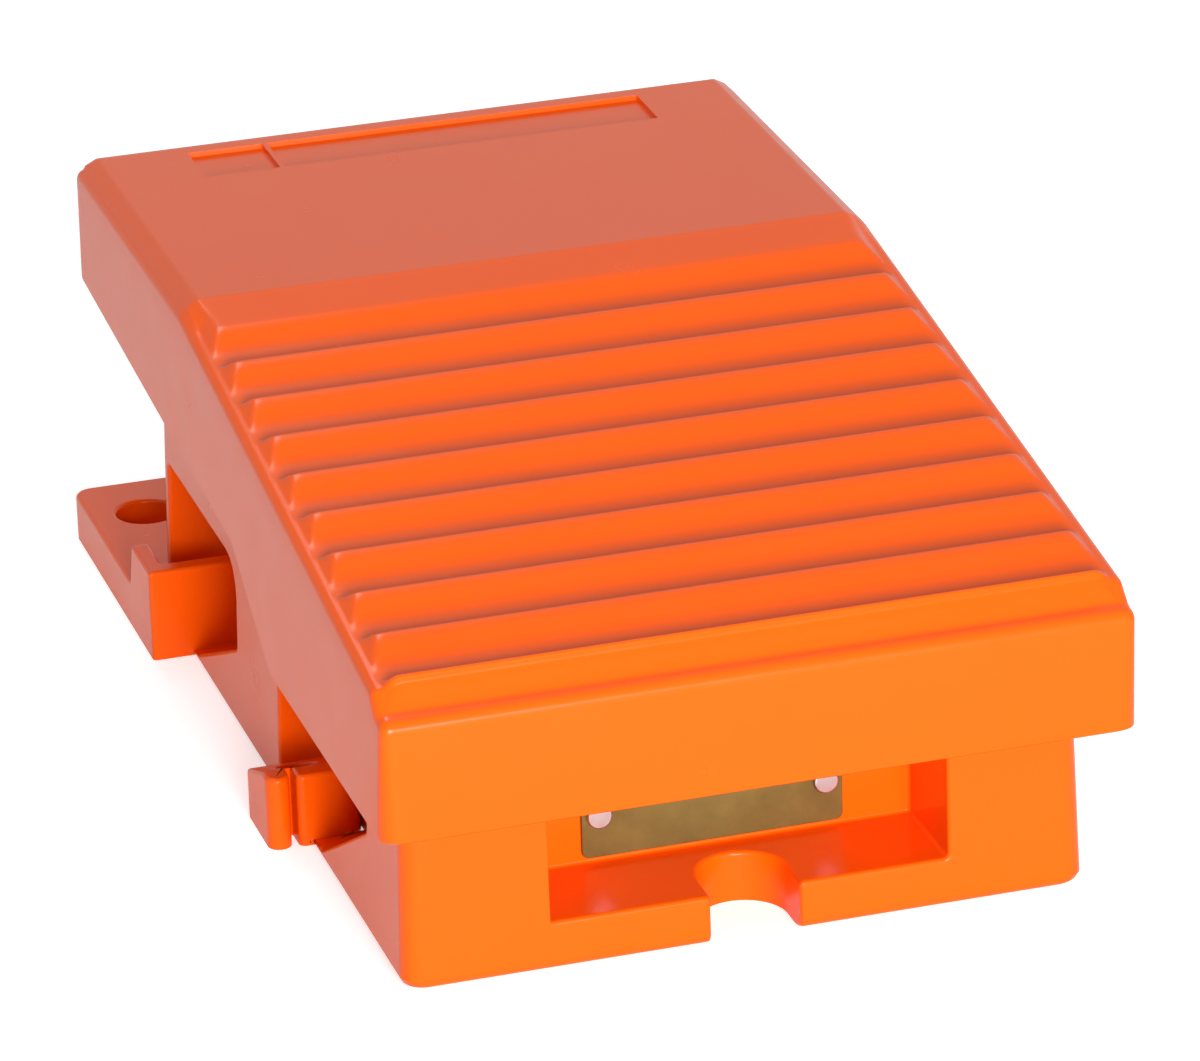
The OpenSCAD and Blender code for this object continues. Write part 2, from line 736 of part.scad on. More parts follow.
module lid_gasket() {
    rim = chamber_t + 0.4;
    color("dimgray") translate([0, 0, deck_h]) linear_extrude(gasket_t) difference() {
        lid_plan(2);
        difference() {
            rounded_rect(2 * chamber_out - 2 * rim, chamber_front + 0.4, chamber_rear - 0.4, 2);
            both_sides() for (y = lid_screws_y) translate([lid_screw_x, y]) circle(d = lid_boss_d + 0.6);
        }
        lid_screw_holes();
    }
}

// Screw with a drilled-out drive, head seated on z = 0
module cap_screw(head_d, head_h, reach) {
    difference() {
        union() {
            cylinder(d = head_d, h = head_h);
            translate([0, 0, -reach]) cylinder(d = lid_screw_d, h = reach + 0.1);
        }
        translate([0, 0, head_h - 1.2]) hex_prism(3, 2);
    }
}

module lid_screws() {
    color("silver") both_sides() for (y = lid_screws_y)
        translate([lid_screw_x, y, lid_z + lid_t]) cap_screw(7, 2.6, lid_t + gasket_t + 8);
}

module contact_block() {
    side_t = 3;
    rear_step = lower_strip_z;
    foot_t = 3;
    color([0.16, 0.16, 0.17]) difference() {
        union() {
            box(-block_w / 2, block_w / 2, block_front_y, block_rear_y, floor_top, rear_step);
            box(-block_w / 2, block_w / 2, block_front_y, plunger_y - block_well_l / 2, floor_top, upper_strip_z);
            both_sides() box(block_w / 2 - side_t, block_w / 2, block_front_y, plunger_y + block_well_l / 2,
                floor_top, upper_strip_z);
            box(-1.5, 1.5, block_front_y, plunger_y - block_well_l / 2, floor_top, upper_strip_z + 4);
            box(-1.5, 1.5, plunger_y + block_well_l / 2, block_rear_y, floor_top, rear_step + 4);
            box(-foot_x - 3.5, foot_x + 3.5, plunger_y - 5, plunger_y + 5, floor_top, floor_top + foot_t);
        }
        box(-block_w / 2 + side_t, block_w / 2 - side_t, plunger_y - block_well_l / 2,
            plunger_y + block_well_l / 2, floor_top + block_floor_t, upper_strip_z + 9);
        both_sides() translate([foot_x, plunger_y, floor_top - 1]) cylinder(d = lid_screw_d + 0.4, h = 9);
        both_sides() translate([strip_x, block_front_y + 5, upper_strip_z - 6]) cylinder(d = 3, h = 9);
        both_sides() translate([strip_x, block_rear_y - 5, lower_strip_z - 4.6]) cylinder(d = 3, h = 9);
    }
}

module contact_block_screws() {
    color("silver") both_sides() translate([foot_x, plunger_y, floor_top + 3]) cap_screw(6.4, 2.4, 7.4);
}

// Pair of contact strips, each with a rivet-shaped contact at its inner end
module contact_strips(y0, y1, hole_y, z) {
    both_sides() difference() {
        box(strip_x - strip_w / 2, strip_x + strip_w / 2, y0, y1, z, z + strip_t);
        translate([strip_x, hole_y, z - 1]) cylinder(d = 3, h = strip_t + 2);
    }
}
module closed_contacts() {
    color("darkgoldenrod")
        contact_strips(block_front_y + 1, plunger_y + 2.5, block_front_y + 5, upper_strip_z);
}
module open_contacts() {
    color("darkgoldenrod")
        contact_strips(plunger_y - 2.5, block_rear_y - 1, block_rear_y - 5, lower_strip_z);
}

module at_terminals() {
    both_sides() {
        translate([strip_x, block_front_y + 5, upper_strip_z + strip_t]) children();
        translate([strip_x, block_rear_y - 5, lower_strip_z + strip_t]) children();
    }
}

module terminal_washers() {
    color("gold") at_terminals() difference() {
        cylinder(d = 7, h = 1);
        translate([0, 0, -1]) cylinder(d = 3, h = 3);
    }
}

module terminal_screws() {
    color("silver") at_terminals() difference() {
        union() {
            translate([0, 0, -5]) cylinder(d = 3, h = 6.1);
            translate([0, 0, 1]) cylinder(d = 5.6, h = 2);
        }
        box(-0.4, 0.4, -4, 4, 2, 4);
    }
}

module contact_carrier() {
    bore_top = bridge_z - 0.6;
    color("firebrick") translate([0, plunger_y, 0]) difference() {
        translate([0, 0, carrier_low]) cylinder(d = carrier_d, h = carrier_top - carrier_low);
        translate([0, 0, carrier_low - 1]) cylinder(d = 8, h = bore_top - carrier_low + 1);
        box(-carrier_d, carrier_d, -bridge_w / 2, bridge_w / 2, bridge_z, bridge_z + bridge_t);
    }
}

module contact_bridge() {
    color("silver") box(-bridge_l / 2, bridge_l / 2, plunger_y - bridge_w / 2, plunger_y + bridge_w / 2,
        bridge_z, bridge_z + bridge_t);
}

module contact_spring() {
    low = floor_top + block_floor_t;
    color("silver") translate([0, plunger_y, low]) coil(7, 0.7, bridge_z - 0.6 - low, 5);
}

module earth_screw() {
    color("silver") translate([earth_at[0], earth_at[1], floor_top + 4]) cap_screw(7, 2.4, 5.2);
}
module earth_washer() {
    color("gold") translate([earth_at[0], earth_at[1], floor_top + 3]) difference() {
        cylinder(d = 9, h = 1);
        translate([0, 0, -1]) cylinder(d = lid_screw_d, h = 3);
    }
}

seal_t = 1.2;
module blanking_plug() {
    color("dimgray") translate([-entry_x, base_rear, entry_z]) rotate([-90, 0, 0]) difference() {
        union() {
            translate([0, 0, -8]) cylinder(d = entry_d, h = 8 + seal_t);
            translate([0, 0, seal_t]) hex_prism(entry_d + 3, 4.5);
        }
        translate([0, 0, -9]) cylinder(d = entry_d - 5, h = 8);
    }
}
module blanking_plug_seal() {
    color("black") translate([-entry_x, base_rear, entry_z]) rotate([-90, 0, 0]) difference() {
        cylinder(d = entry_d + 3, h = seal_t);
        translate([0, 0, -1]) cylinder(d = entry_d, h = seal_t + 2);
    }
}

to_part_frame() {
    base_casting();
    pedal();
    rating_plate();
    rating_plate_rivets();
    hinge_pin_left();
    hinge_pin_right();
    hinge_pin_clips();
    hinge_bushes();
    return_spring_left();
    return_spring_right();
    spring_seats();
    actuating_screw();
    lock_nut();
    down_stop_buffers();
    rest_stop_pads();
    plunger();
    plunger_guide();
    plunger_boot();
    chamber_lid();
    lid_gasket();
    lid_screws();
    contact_block();
    contact_block_screws();
    closed_contacts();
    open_contacts();
    terminal_screws();
    terminal_washers();
    contact_carrier();
    contact_bridge();
    contact_spring();
    earth_screw();
    earth_washer();
    blanking_plug();
    blanking_plug_seal();
}
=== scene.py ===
"""Industrial foot switch: looks of the die-cast pedal, the base and the works between them."""

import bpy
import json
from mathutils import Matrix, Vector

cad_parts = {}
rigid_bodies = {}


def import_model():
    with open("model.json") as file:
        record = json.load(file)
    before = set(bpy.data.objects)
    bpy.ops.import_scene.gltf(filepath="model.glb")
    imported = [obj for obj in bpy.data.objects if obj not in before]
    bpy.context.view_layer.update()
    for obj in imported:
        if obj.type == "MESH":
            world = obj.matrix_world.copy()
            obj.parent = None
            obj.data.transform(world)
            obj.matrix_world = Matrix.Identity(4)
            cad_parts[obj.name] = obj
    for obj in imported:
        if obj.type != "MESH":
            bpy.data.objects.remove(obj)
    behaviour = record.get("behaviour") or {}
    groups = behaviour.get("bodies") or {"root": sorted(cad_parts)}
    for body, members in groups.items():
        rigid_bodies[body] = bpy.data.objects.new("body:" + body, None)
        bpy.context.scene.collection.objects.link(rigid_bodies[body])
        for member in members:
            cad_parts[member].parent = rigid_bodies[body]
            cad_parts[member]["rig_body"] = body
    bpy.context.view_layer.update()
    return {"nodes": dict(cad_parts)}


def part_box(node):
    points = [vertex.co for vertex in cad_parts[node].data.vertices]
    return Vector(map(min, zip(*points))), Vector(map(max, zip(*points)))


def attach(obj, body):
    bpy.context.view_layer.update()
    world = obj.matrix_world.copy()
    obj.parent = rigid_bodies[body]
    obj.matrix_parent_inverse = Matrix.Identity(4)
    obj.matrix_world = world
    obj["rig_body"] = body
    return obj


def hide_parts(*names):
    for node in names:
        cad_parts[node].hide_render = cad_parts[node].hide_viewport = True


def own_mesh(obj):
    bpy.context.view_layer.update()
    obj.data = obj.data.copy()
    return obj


bl_info = {
    "name": "Industrial Foot Switch",
    "version": (1, 0, 0),
    "blender": (4, 5, 0),
    "location": "View3D > Sidebar > Foot Switch",
    "description": "Builds the finished surfaces of an industrial foot switch round its CAD frame",
    "category": "Add Mesh",
}

import json
import math

import bmesh
import bpy
import numpy as np
from bpy.props import FloatProperty, FloatVectorProperty, PointerProperty
from mathutils import Matrix

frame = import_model()
MM = 0.001


def node_box(node):
    """Lowest and highest corner of a CAD node at rest, in millimetres."""
    low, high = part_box(node)
    return np.array(low) / MM, np.array(high) / MM


PEDAL_LOW, PEDAL_HIGH = node_box("pedal")
BASE_LOW, BASE_HIGH = node_box("base_casting")
LIP_Y = PEDAL_LOW[1]

# Places of the works in millimetres: y from the lip plane, z from the floor.
HINGE_Y, HINGE_Z = 124.0, 48.0
SPRING_X, SPRING_Y = 35.5, 82.5
PLUNGER_Y = 70.0
SPRING_TOP = 34.0

PAINT_SHEEN = 0.18


class FootSwitchSizes(bpy.types.PropertyGroup):
    """Sizes of the finished surfaces that the CAD solids leave sharp or plain."""
    rib_height: FloatProperty(name="Rib height", description="Crest of a tread rib above the valley",
                              default=1.6 * MM, unit="LENGTH")
    tread_edge: FloatProperty(name="Tread edge radius", description="Rounding along the sides of the tread",
                              default=1.3 * MM, unit="LENGTH")
    corner: FloatProperty(name="Corner radius", description="Rounding of the pedal's upright corners",
                          default=2.6 * MM, unit="LENGTH")
    casting_edge: FloatProperty(name="Casting edge radius", description="Rounding of the base's edges",
                                default=0.6 * MM, unit="LENGTH")


class FootSwitchColours(bpy.types.PropertyGroup):
    """Colours of the finishes."""
    paint: FloatVectorProperty(name="Paint", description="Orange paint of the castings", subtype="COLOR",
                               size=4, min=0, max=1, default=(0.88, 0.098, 0.001, 1))
    floor: FloatVectorProperty(name="Floor", description="Plain floor under the part", subtype="COLOR",
                               size=4, min=0, max=1, default=(0.93, 0.93, 0.93, 1))


def sizes():
    return bpy.context.scene.foot_switch_sizes


def colours():
    return bpy.context.scene.foot_switch_colours


# ---------------------------------------------------------------- mesh helpers

def add_mesh(name, points, faces, smooth=True):
    """Makes a mesh object at the origin from points in millimetres and a list of faces."""
    mesh = bpy.data.meshes.new(name)
    mesh.from_pydata((np.asarray(points, float) * MM).tolist(), [], faces)
    mesh.validate()
    mesh.update()
    if smooth:
        mesh.shade_smooth()
    obj = bpy.data.objects.new(name, mesh)
    bpy.context.collection.objects.link(obj)
    return obj


def grid_faces(rows, cols, start=0, wrap_rows=False, wrap_cols=False):
    """Quads of a rows x cols grid of points numbered from start."""
    r = np.arange(rows if wrap_rows else rows - 1)[:, None]
    c = np.arange(cols if wrap_cols else cols - 1)[None, :]
    r2 = (r + 1) % rows
    c2 = (c + 1) % cols
    quads = np.stack([r * cols + c, r * cols + c2, r2 * cols + c2, r2 * cols + c], axis=-1)
    return (quads.reshape(-1, 4) + start).tolist()


def weld_and_face_out(obj, distance=1e-6):
    """Merges doubled points and turns every face outward."""
    bm = bmesh.new()
    bm.from_mesh(obj.data)
    bmesh.ops.remove_doubles(bm, verts=bm.verts, dist=distance)
    bmesh.ops.dissolve_degenerate(bm, dist=distance, edges=bm.edges)
    bmesh.ops.recalc_face_normals(bm, faces=bm.faces)
    bm.to_mesh(obj.data)
    bm.free()
    obj.data.update()


def smooth_by_angle(obj, degrees=35):
    """Smooth shading that keeps edges sharper than the angle."""
    mesh = obj.data
    mesh.shade_smooth()
    bm = bmesh.new()
    bm.from_mesh(mesh)
    limit = math.radians(degrees)
    for edge in bm.edges:
        edge.smooth = not (edge.is_manifold and edge.calc_face_angle(0) > limit)
    bm.to_mesh(mesh)
    bm.free()


def rounded_path(corners, radii, steps=6):
    """Polyline through the corners with each inner corner replaced by an arc of its radius."""
    pts = np.asarray(corners, float)
    out = [pts[:1]]
    for i in range(1, len(pts) - 1):
        before, here, after = pts[i - 1], pts[i], pts[i + 1]
        a = (before - here) / np.linalg.norm(before - here)
        b = (after - here) / np.linalg.norm(after - here)
        half = 0.5 * math.acos(np.clip(a @ b, -1, 1))
        reach = radii[i] / math.tan(half) if radii[i] else 0.0
        if reach < 1e-6:
            out.append(here[None])
            continue
        mid = (a + b) / np.linalg.norm(a + b)
        centre = here + mid * radii[i] / math.sin(half)
        start, end = here + a * reach, here + b * reach
        va, vb = start - centre, end - centre
        turn = math.acos(np.clip(va @ vb / radii[i] ** 2, -1, 1))
        t = np.linspace(0, 1, steps + 1)[:, None]
        arc = (np.sin((1 - t) * turn) * va + np.sin(t * turn) * vb) / math.sin(turn)
        out.append(centre + arc)
    out.append(pts[-1:])
    return np.concatenate(out)


def smoothstep(t):
    """0 up to t = 0, 1 from t = 1, and the cubic 3 t^2 - 2 t^3 between."""
    t = np.clip(t, 0, 1)
    return t * t * (3 - 2 * t)


def finish_piece(obj, material, body, slot, *replaced):
    """Gives a piece its material and its body, and hides the CAD nodes it stands for; the slot argument is
    not used.
    """
    obj.data.materials.clear()
    obj.data.materials.append(material)
    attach(obj, body)
    if replaced:
        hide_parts(*replaced)


# ---------------------------------------------------------------- materials

def new_group(name, inputs, outputs):
    """Empty shader group with the named sockets: (kind, name, default)."""
    group = bpy.data.node_groups.new(name, "ShaderNodeTree")
    for kind, label, value in inputs:
        socket = group.interface.new_socket(label, in_out="INPUT", socket_type=kind)
        if value is not None:
            socket.default_value = value
    for kind, label in outputs:
        group.interface.new_socket(label, in_out="OUTPUT", socket_type=kind)
    return group, group.nodes.new("NodeGroupInput"), group.nodes.new("NodeGroupOutput")


def math_node(nodes, operation, *values):
    """Math node with its inputs set in order, None for those that get a link."""
    node = nodes.new("ShaderNodeMath")
    node.operation = operation
    for i, value in enumerate(values):
        if value is not None:
            node.inputs[i].default_value = value
    return node


def noise_node(nodes, scale, detail=2.0, roughness=0.5):
    node = nodes.new("ShaderNodeTexNoise")
    node.inputs["Scale"].default_value = scale
    node.inputs["Detail"].default_value = detail
    node.inputs["Roughness"].default_value = roughness
    return node


def paint_group():
    """Sprayed paint: colour mottled by slow noise, gloss that varies, and an orange-peel height."""
    if "sprayed_paint" in bpy.data.node_groups:
        return bpy.data.node_groups["sprayed_paint"]
    group, start, end = new_group(
        "sprayed_paint",
        [("NodeSocketColor", "Colour", (0.9, 0.2, 0.01, 1)), ("NodeSocketFloat", "Mottle", 0.06),
         ("NodeSocketFloat", "Roughness", 0.3), ("NodeSocketFloat", "Peel Size", 900.0)],
        [("NodeSocketColor", "Colour"), ("NodeSocketFloat", "Roughness"), ("NodeSocketFloat", "Height")])
    nodes, links = group.nodes, group.links
    where = nodes.new("ShaderNodeTexCoord")
    slow = noise_node(nodes, 38, 3)
    links.new(where.outputs["Object"], slow.inputs["Vector"])
    swing = math_node(nodes, "MULTIPLY_ADD", None, 2.0, -1.0)
    links.new(slow.outputs["Fac"], swing.inputs[0])
    amount = math_node(nodes, "MULTIPLY")
    links.new(swing.outputs[0], amount.inputs[0])
    links.new(start.outputs["Mottle"], amount.inputs[1])
    gain = math_node(nodes, "ADD", None, 1.0)
    links.new(amount.outputs[0], gain.inputs[0])
    tint = nodes.new("ShaderNodeHueSaturation")
    links.new(gain.outputs[0], tint.inputs["Value"])
    links.new(start.outputs["Colour"], tint.inputs["Color"])
    links.new(tint.outputs["Color"], end.inputs["Colour"])
    patch = noise_node(nodes, 120, 4, 0.6)
    links.new(where.outputs["Object"], patch.inputs["Vector"])
    vary = math_node(nodes, "MULTIPLY_ADD", None, 0.16, -0.08)
    links.new(patch.outputs["Fac"], vary.inputs[0])
    rough = math_node(nodes, "ADD")
    links.new(vary.outputs[0], rough.inputs[0])
    links.new(start.outputs["Roughness"], rough.inputs[1])
    links.new(rough.outputs[0], end.inputs["Roughness"])
    peel = noise_node(nodes, 900, 1.5, 0.45)
    links.new(where.outputs["Object"], peel.inputs["Vector"])
    links.new(start.outputs["Peel Size"], peel.inputs["Scale"])
    links.new(peel.outputs["Fac"], end.inputs["Height"])
    return group


def metal_group():
    """Worked metal: fine scratches and blotches that shift colour and gloss."""
    if "worked_metal" in bpy.data.node_groups:
        return bpy.data.node_groups["worked_metal"]
    group, start, end = new_group(
        "worked_metal",
        [("NodeSocketColor", "Colour", (0.6, 0.6, 0.6, 1)),
         ("NodeSocketColor", "Tarnish", (0.3, 0.3, 0.3, 1)),
         ("NodeSocketFloat", "Amount", 0.4), ("NodeSocketFloat", "Roughness", 0.35),
         ("NodeSocketFloat", "Grain", 700.0)],
        [("NodeSocketColor", "Colour"), ("NodeSocketFloat", "Roughness"), ("NodeSocketFloat", "Height")])
    nodes, links = group.nodes, group.links
    where = nodes.new("ShaderNodeTexCoord")
    blotch = noise_node(nodes, 160, 4, 0.6)
    links.new(where.outputs["Object"], blotch.inputs["Vector"])
    mask = math_node(nodes, "MULTIPLY")
    links.new(blotch.outputs["Fac"], mask.inputs[0])
    links.new(start.outputs["Amount"], mask.inputs[1])
    mix = nodes.new("ShaderNodeMix")
    mix.data_type = "RGBA"
    links.new(mask.outputs[0], mix.inputs["Factor"])
    links.new(start.outputs["Colour"], mix.inputs["A"])
    links.new(start.outputs["Tarnish"], mix.inputs["B"])
    links.new(mix.outputs["Result"], end.inputs["Colour"])
    fine = noise_node(nodes, 700, 3, 0.7)
    links.new(where.outputs["Object"], fine.inputs["Vector"])
    links.new(start.outputs["Grain"], fine.inputs["Scale"])
    spread = math_node(nodes, "MULTIPLY_ADD", None, 0.2, -0.1)
    links.new(fine.outputs["Fac"], spread.inputs[0])
    rough = math_node(nodes, "ADD")
    links.new(spread.outputs[0], rough.inputs[0])
    links.new(start.outputs["Roughness"], rough.inputs[1])
    links.new(rough.outputs[0], end.inputs["Roughness"])
    links.new(fine.outputs["Fac"], end.inputs["Height"])
    return group


def start_material(name):
    """New material with its nodes, its links and its surface shader."""
    material = bpy.data.materials.new(name)
    material.use_nodes = True
    tree = material.node_tree
    return material, tree.nodes, tree.links, tree.nodes["Principled BSDF"]


def bump_into(nodes, links, height, shader, strength, distance):
    """Turns a height into the shader's normal."""
    bump = nodes.new("ShaderNodeBump")
    bump.inputs["Strength"].default_value = strength
    bump.inputs["Distance"].default_value = distance
    links.new(height, bump.inputs["Height"])
    links.new(bump.outputs["Normal"], shader.inputs["Normal"])


def painted(name, colour, roughness, peel):
    """Semi-gloss paint on a casting."""
    material, nodes, links, shader = start_material(name)
    group = nodes.new("ShaderNodeGroup")
    group.node_tree = paint_group()
    group.inputs["Colour"].default_value = colour
    group.inputs["Mottle"].default_value = 0.03
    group.inputs["Roughness"].default_value = roughness
    links.new(group.outputs["Colour"], shader.inputs["Base Color"])
    links.new(group.outputs["Roughness"], shader.inputs["Roughness"])
    bump_into(nodes, links, group.outputs["Height"], shader, peel, 0.00004)
    shader.inputs["Specular IOR Level"].default_value = PAINT_SHEEN
    return material


def metal(name, colour, tarnish, amount, roughness, grain=700.0, bump=0.15):
    """Bare or plated metal."""
    material, nodes, links, shader = start_material(name)
    group = nodes.new("ShaderNodeGroup")
    group.node_tree = metal_group()
    group.inputs["Colour"].default_value = colour
    group.inputs["Tarnish"].default_value = tarnish
    group.inputs["Amount"].default_value = amount
    group.inputs["Roughness"].default_value = roughness
    group.inputs["Grain"].default_value = grain
    links.new(group.outputs["Colour"], shader.inputs["Base Color"])
    links.new(group.outputs["Roughness"], shader.inputs["Roughness"])
    shader.inputs["Metallic"].default_value = 1.0
    bump_into(nodes, links, group.outputs["Height"], shader, bump, 0.00003)
    return material


def moulded(name, colour, roughness, texture_size, bump):
    """Moulded plastic or rubber with a fine moulded grain."""
    material, nodes, links, shader = start_material(name)
    group = nodes.new("ShaderNodeGroup")
    group.node_tree = paint_group()
    group.inputs["Colour"].default_value = colour
    group.inputs["Mottle"].default_value = 0.12
    group.inputs["Roughness"].default_value = roughness
    group.inputs["Peel Size"].default_value = texture_size
    links.new(group.outputs["Colour"], shader.inputs["Base Color"])
    links.new(group.outputs["Roughness"], shader.inputs["Roughness"])
    bump_into(nodes, links, group.outputs["Height"], shader, bump, 0.00005)
    return material


def make_finishes():
    """One material per slot of the record."""
    paint = tuple(colours().paint)
    steel = (0.62, 0.62, 0.63, 1)
    return {
        "casting_paint": painted("casting_paint", paint, 0.24, 0.08),
        "pedal_paint": painted("pedal_paint", paint, 0.24, 0.08),
        # Plate colour: its own olive brown, made darker with painted shade for the shadowed window it sits
        # in.
        "plate_metal": metal("plate_metal", (0.24, 0.17, 0.05, 1), (0.09, 0.06, 0.02, 1), 0.9, 0.5, 1400,
                             bump=0.4),
        "zinc_steel": metal("zinc_steel", steel, (0.42, 0.42, 0.40, 1), 0.5, 0.32),
        "spring_steel": metal("spring_steel", (0.42, 0.42, 0.43, 1), (0.2, 0.19, 0.18, 1), 0.5, 0.3),
        "bronze": metal("bronze", (0.55, 0.33, 0.13, 1), (0.3, 0.17, 0.07, 1), 0.6, 0.45, 1800),
        "brass": metal("brass", (0.72, 0.52, 0.19, 1), (0.45, 0.30, 0.1, 1), 0.4, 0.28),
        "lid_alloy": metal("lid_alloy", (0.62, 0.63, 0.65, 1), (0.45, 0.45, 0.47, 1), 0.6, 0.42, 500),
        "silver_contact": metal("silver_contact", (0.78, 0.77, 0.73, 1), (0.5, 0.47, 0.4, 1), 0.4, 0.22),
        "black_rubber": moulded("black_rubber", (0.022, 0.022, 0.023, 1), 0.62, 1500, 0.4),
        "grey_plastic": moulded("grey_plastic", (0.10, 0.10, 0.11, 1), 0.48, 1100, 0.3),
        "black_plastic": moulded("black_plastic", (0.03, 0.03, 0.033, 1), 0.42, 1100, 0.3),
        "white_plastic": moulded("white_plastic", (0.80, 0.79, 0.75, 1), 0.36, 1100, 0.15),
        "red_plastic": moulded("red_plastic", (0.45, 0.03, 0.02, 1), 0.4, 1100, 0.2),
    }


# ---------------------------------------------------------------- pedal

class PedalForm:
    """The pedal's outer and inner surfaces as functions, in millimetres from the lip plane."""
    # Overall form: the box of the CAD piece, the draft of its sides and the heights of its outline.
    length = PEDAL_HIGH[1] - PEDAL_LOW[1]
    top = PEDAL_HIGH[2]
    skirt = PEDAL_LOW[2]
    half = PEDAL_HIGH[0]
    taper = math.tan(math.radians(1.57))
    flat_start = 103.5
    tread_front = 46.1
    lip = 42.4
    rear_skirt = 43.2
    wall = 3.2
    rim = 0.4
    chamfer = 3.0
    bend = 1.6
    tread_bend = 6.0
    # Ribs: places of the rear and front crests, the margin beside their ends, the rear flank's share.
    crest_first = flat_start - 7
    crest_last = 5.0
    ribs = 10
    pitch = (crest_first - crest_last) / (ribs - 1)
    nose = 2.4
    margin = 1.4
    end_run = 3.4
    end_gain = 1.6
    rib_rear = 0.2
    flank_power = 1.8
    # Marking recess near the rear edge.
    mark_length = 68.0
    mark_field = 11.0
    mark_divider = 0.8
    mark_width = 10.4
    mark_depth = 0.7
    mark_rear = length - 4.4

    def __init__(self, rib_height, tread_edge, corner):
        self.rib = rib_height
        self.edge = tread_edge
        self.corner = corner
        self.rise = (self.top - self.tread_front) / self.flat_start

    def valley(self, y):
        """Height of the tread's valleys: a straight slope, then the chamfered edge of the flat top."""
        return self.tread_front - self.rib + self.rise * y

    def edge_path(self):
        """Side outline (y, z) of the outer surface without its ribs, lip corner first."""
        side_top = self.top - self.chamfer / 2
        meet = (side_top - self.tread_front + self.rib) / self.rise
        corners = [(0, self.skirt + self.rim), (0, self.lip), (self.nose, self.lip + 0.4),
                   (self.crest_last, self.valley(self.crest_last)), (meet, side_top),
                   (self.length, side_top), (self.length, self.rear_skirt + self.rim)]
        return rounded_path(corners, [0, self.bend, self.bend, self.bend, self.tread_bend, self.bend, 0], 7)

    def wave(self, y):
        """Rib height over the valley: a front flank that falls fast and flattens out, a short one behind."""
        phase = np.mod((self.crest_first - y) / self.pitch, 1.0)
        front = 1 - self.rib_rear
        long_flank = ((1 + np.cos(np.pi * np.clip(phase / front, 0, 1))) / 2) ** self.flank_power
        short_flank = (1 - np.cos(np.pi * np.clip((phase - front) / self.rib_rear, 0, 1))) / 2
        wave = np.where(phase < front, long_flank, short_flank)
        wave = np.where(y > self.crest_first, 1.0, wave)
        nose = smoothstep((y - self.nose) / (self.crest_last - self.nose))
        return self.rib * np.where(y < self.crest_last, nose, wave)

    def relief(self, y, inset):
        """Height added at y and at a distance inset from the skirt: ribs with rounded ends, or the flat top.

        A rib's end is the smooth lower of its wave w and of a ramp r that rises from the margin,
        w r / (w^4 + r^4)^(1/4).
        """
        wave = self.wave(y)
        ramp = self.end_gain * self.rib * smoothstep((inset - self.margin) / self.end_run)
        ribs = wave * ramp / (wave ** 4 + ramp ** 4 + 1e-9) ** 0.25
        flat = self.chamfer / 2 * np.clip((inset - 0.2) / (self.chamfer - 0.2), 0, 1)
        flat = flat * smoothstep((self.length - 0.2 - y) / 1.2)
        blend = smoothstep((y - self.crest_first) / (self.flat_start + 1 - self.crest_first))
        return ribs * (1 - blend) + flat * blend

    def recess(self, x, y):
        """Depth of the bare marking recess: a short and a long field with a divider between them."""
        left = -self.mark_length / 2
        split = left + self.mark_field
        in_y = (y > self.mark_rear - self.mark_width) & (y < self.mark_rear)
        in_x = ((x > left) & (x < split)) | ((x > split + self.mark_divider) & (x < -left))
        return np.where(in_x & in_y, self.mark_depth, 0.0)


def pedal_rows(form):
    """Places along the outer side outline, dense on the ribs and at the recess."""
    path = form.edge_path()
    run = np.concatenate([[0], np.cumsum(np.linalg.norm(np.diff(path, axis=0), axis=1))])
    on_top = (path[:, 1] > form.lip - 0.2)
    valley = 1 - form.rib_rear
    share = np.concatenate([np.linspace(0, valley, 13), np.linspace(valley, 1, 9)[1:-1]])
    crests = form.crest_last + form.pitch * np.arange(form.ribs)
    tread = (crests[:, None] + form.pitch * (share - valley)[None, :] - form.rib_rear * form.pitch).ravel()
    tread = np.concatenate([tread[tread > form.nose], np.linspace(form.nose, form.crest_last, 9)])
    band = np.linspace(form.crest_first, form.flat_start + 4, 14)
    rear = np.array([form.length - d for d in (3.0, 2.2, 1.6, 1.2, 0.9, 0.6)])
    step = 0.06
    marks = [form.mark_rear - form.mark_width, form.mark_rear]
    marks = np.array([m + d for m in marks for d in (-step, step)])
    top_y = np.concatenate([tread, band, rear, marks])
    top_path = path[on_top]
    top_run = run[on_top]
    extra = np.interp(top_y, top_path[:, 0], top_run)
    keep = np.unique(np.round(np.concatenate([run, extra]), 4))
    keep = keep[np.concatenate([[True], np.diff(keep) > 0.02])]
    rows = np.stack([np.interp(keep, run, path[:, 0]), np.interp(keep, run, path[:, 1])], axis=1)
    return rows, keep / run[-1]


def outward_normals(path):
    """Unit normals of a (y, z) path, to the left of its run from front to rear."""
    along = np.gradient(path, axis=0)
    along /= np.linalg.norm(along, axis=1)[:, None] + 1e-12
    return np.stack([-along[:, 1], along[:, 0]], axis=1)


def skirt_edge(form, share, inset):
    """Point (y, z) on the skirt's lower edge, share 0 at the front and 1 at the rear."""
    start = max(form.corner, inset + 0.5)
    low = np.array([[start, form.skirt], [56, form.skirt], [76, 36.5],
                    [form.length - start, form.rear_skirt - 0.2]])
    low[:, 1] += form.rim
    run = np.concatenate([[0], np.cumsum(np.linalg.norm(np.diff(low, axis=0), axis=1))])
    at = share * run[-1]
    return np.stack([np.interp(at, run, low[:, 0]), np.interp(at, run, low[:, 1])], axis=-1)


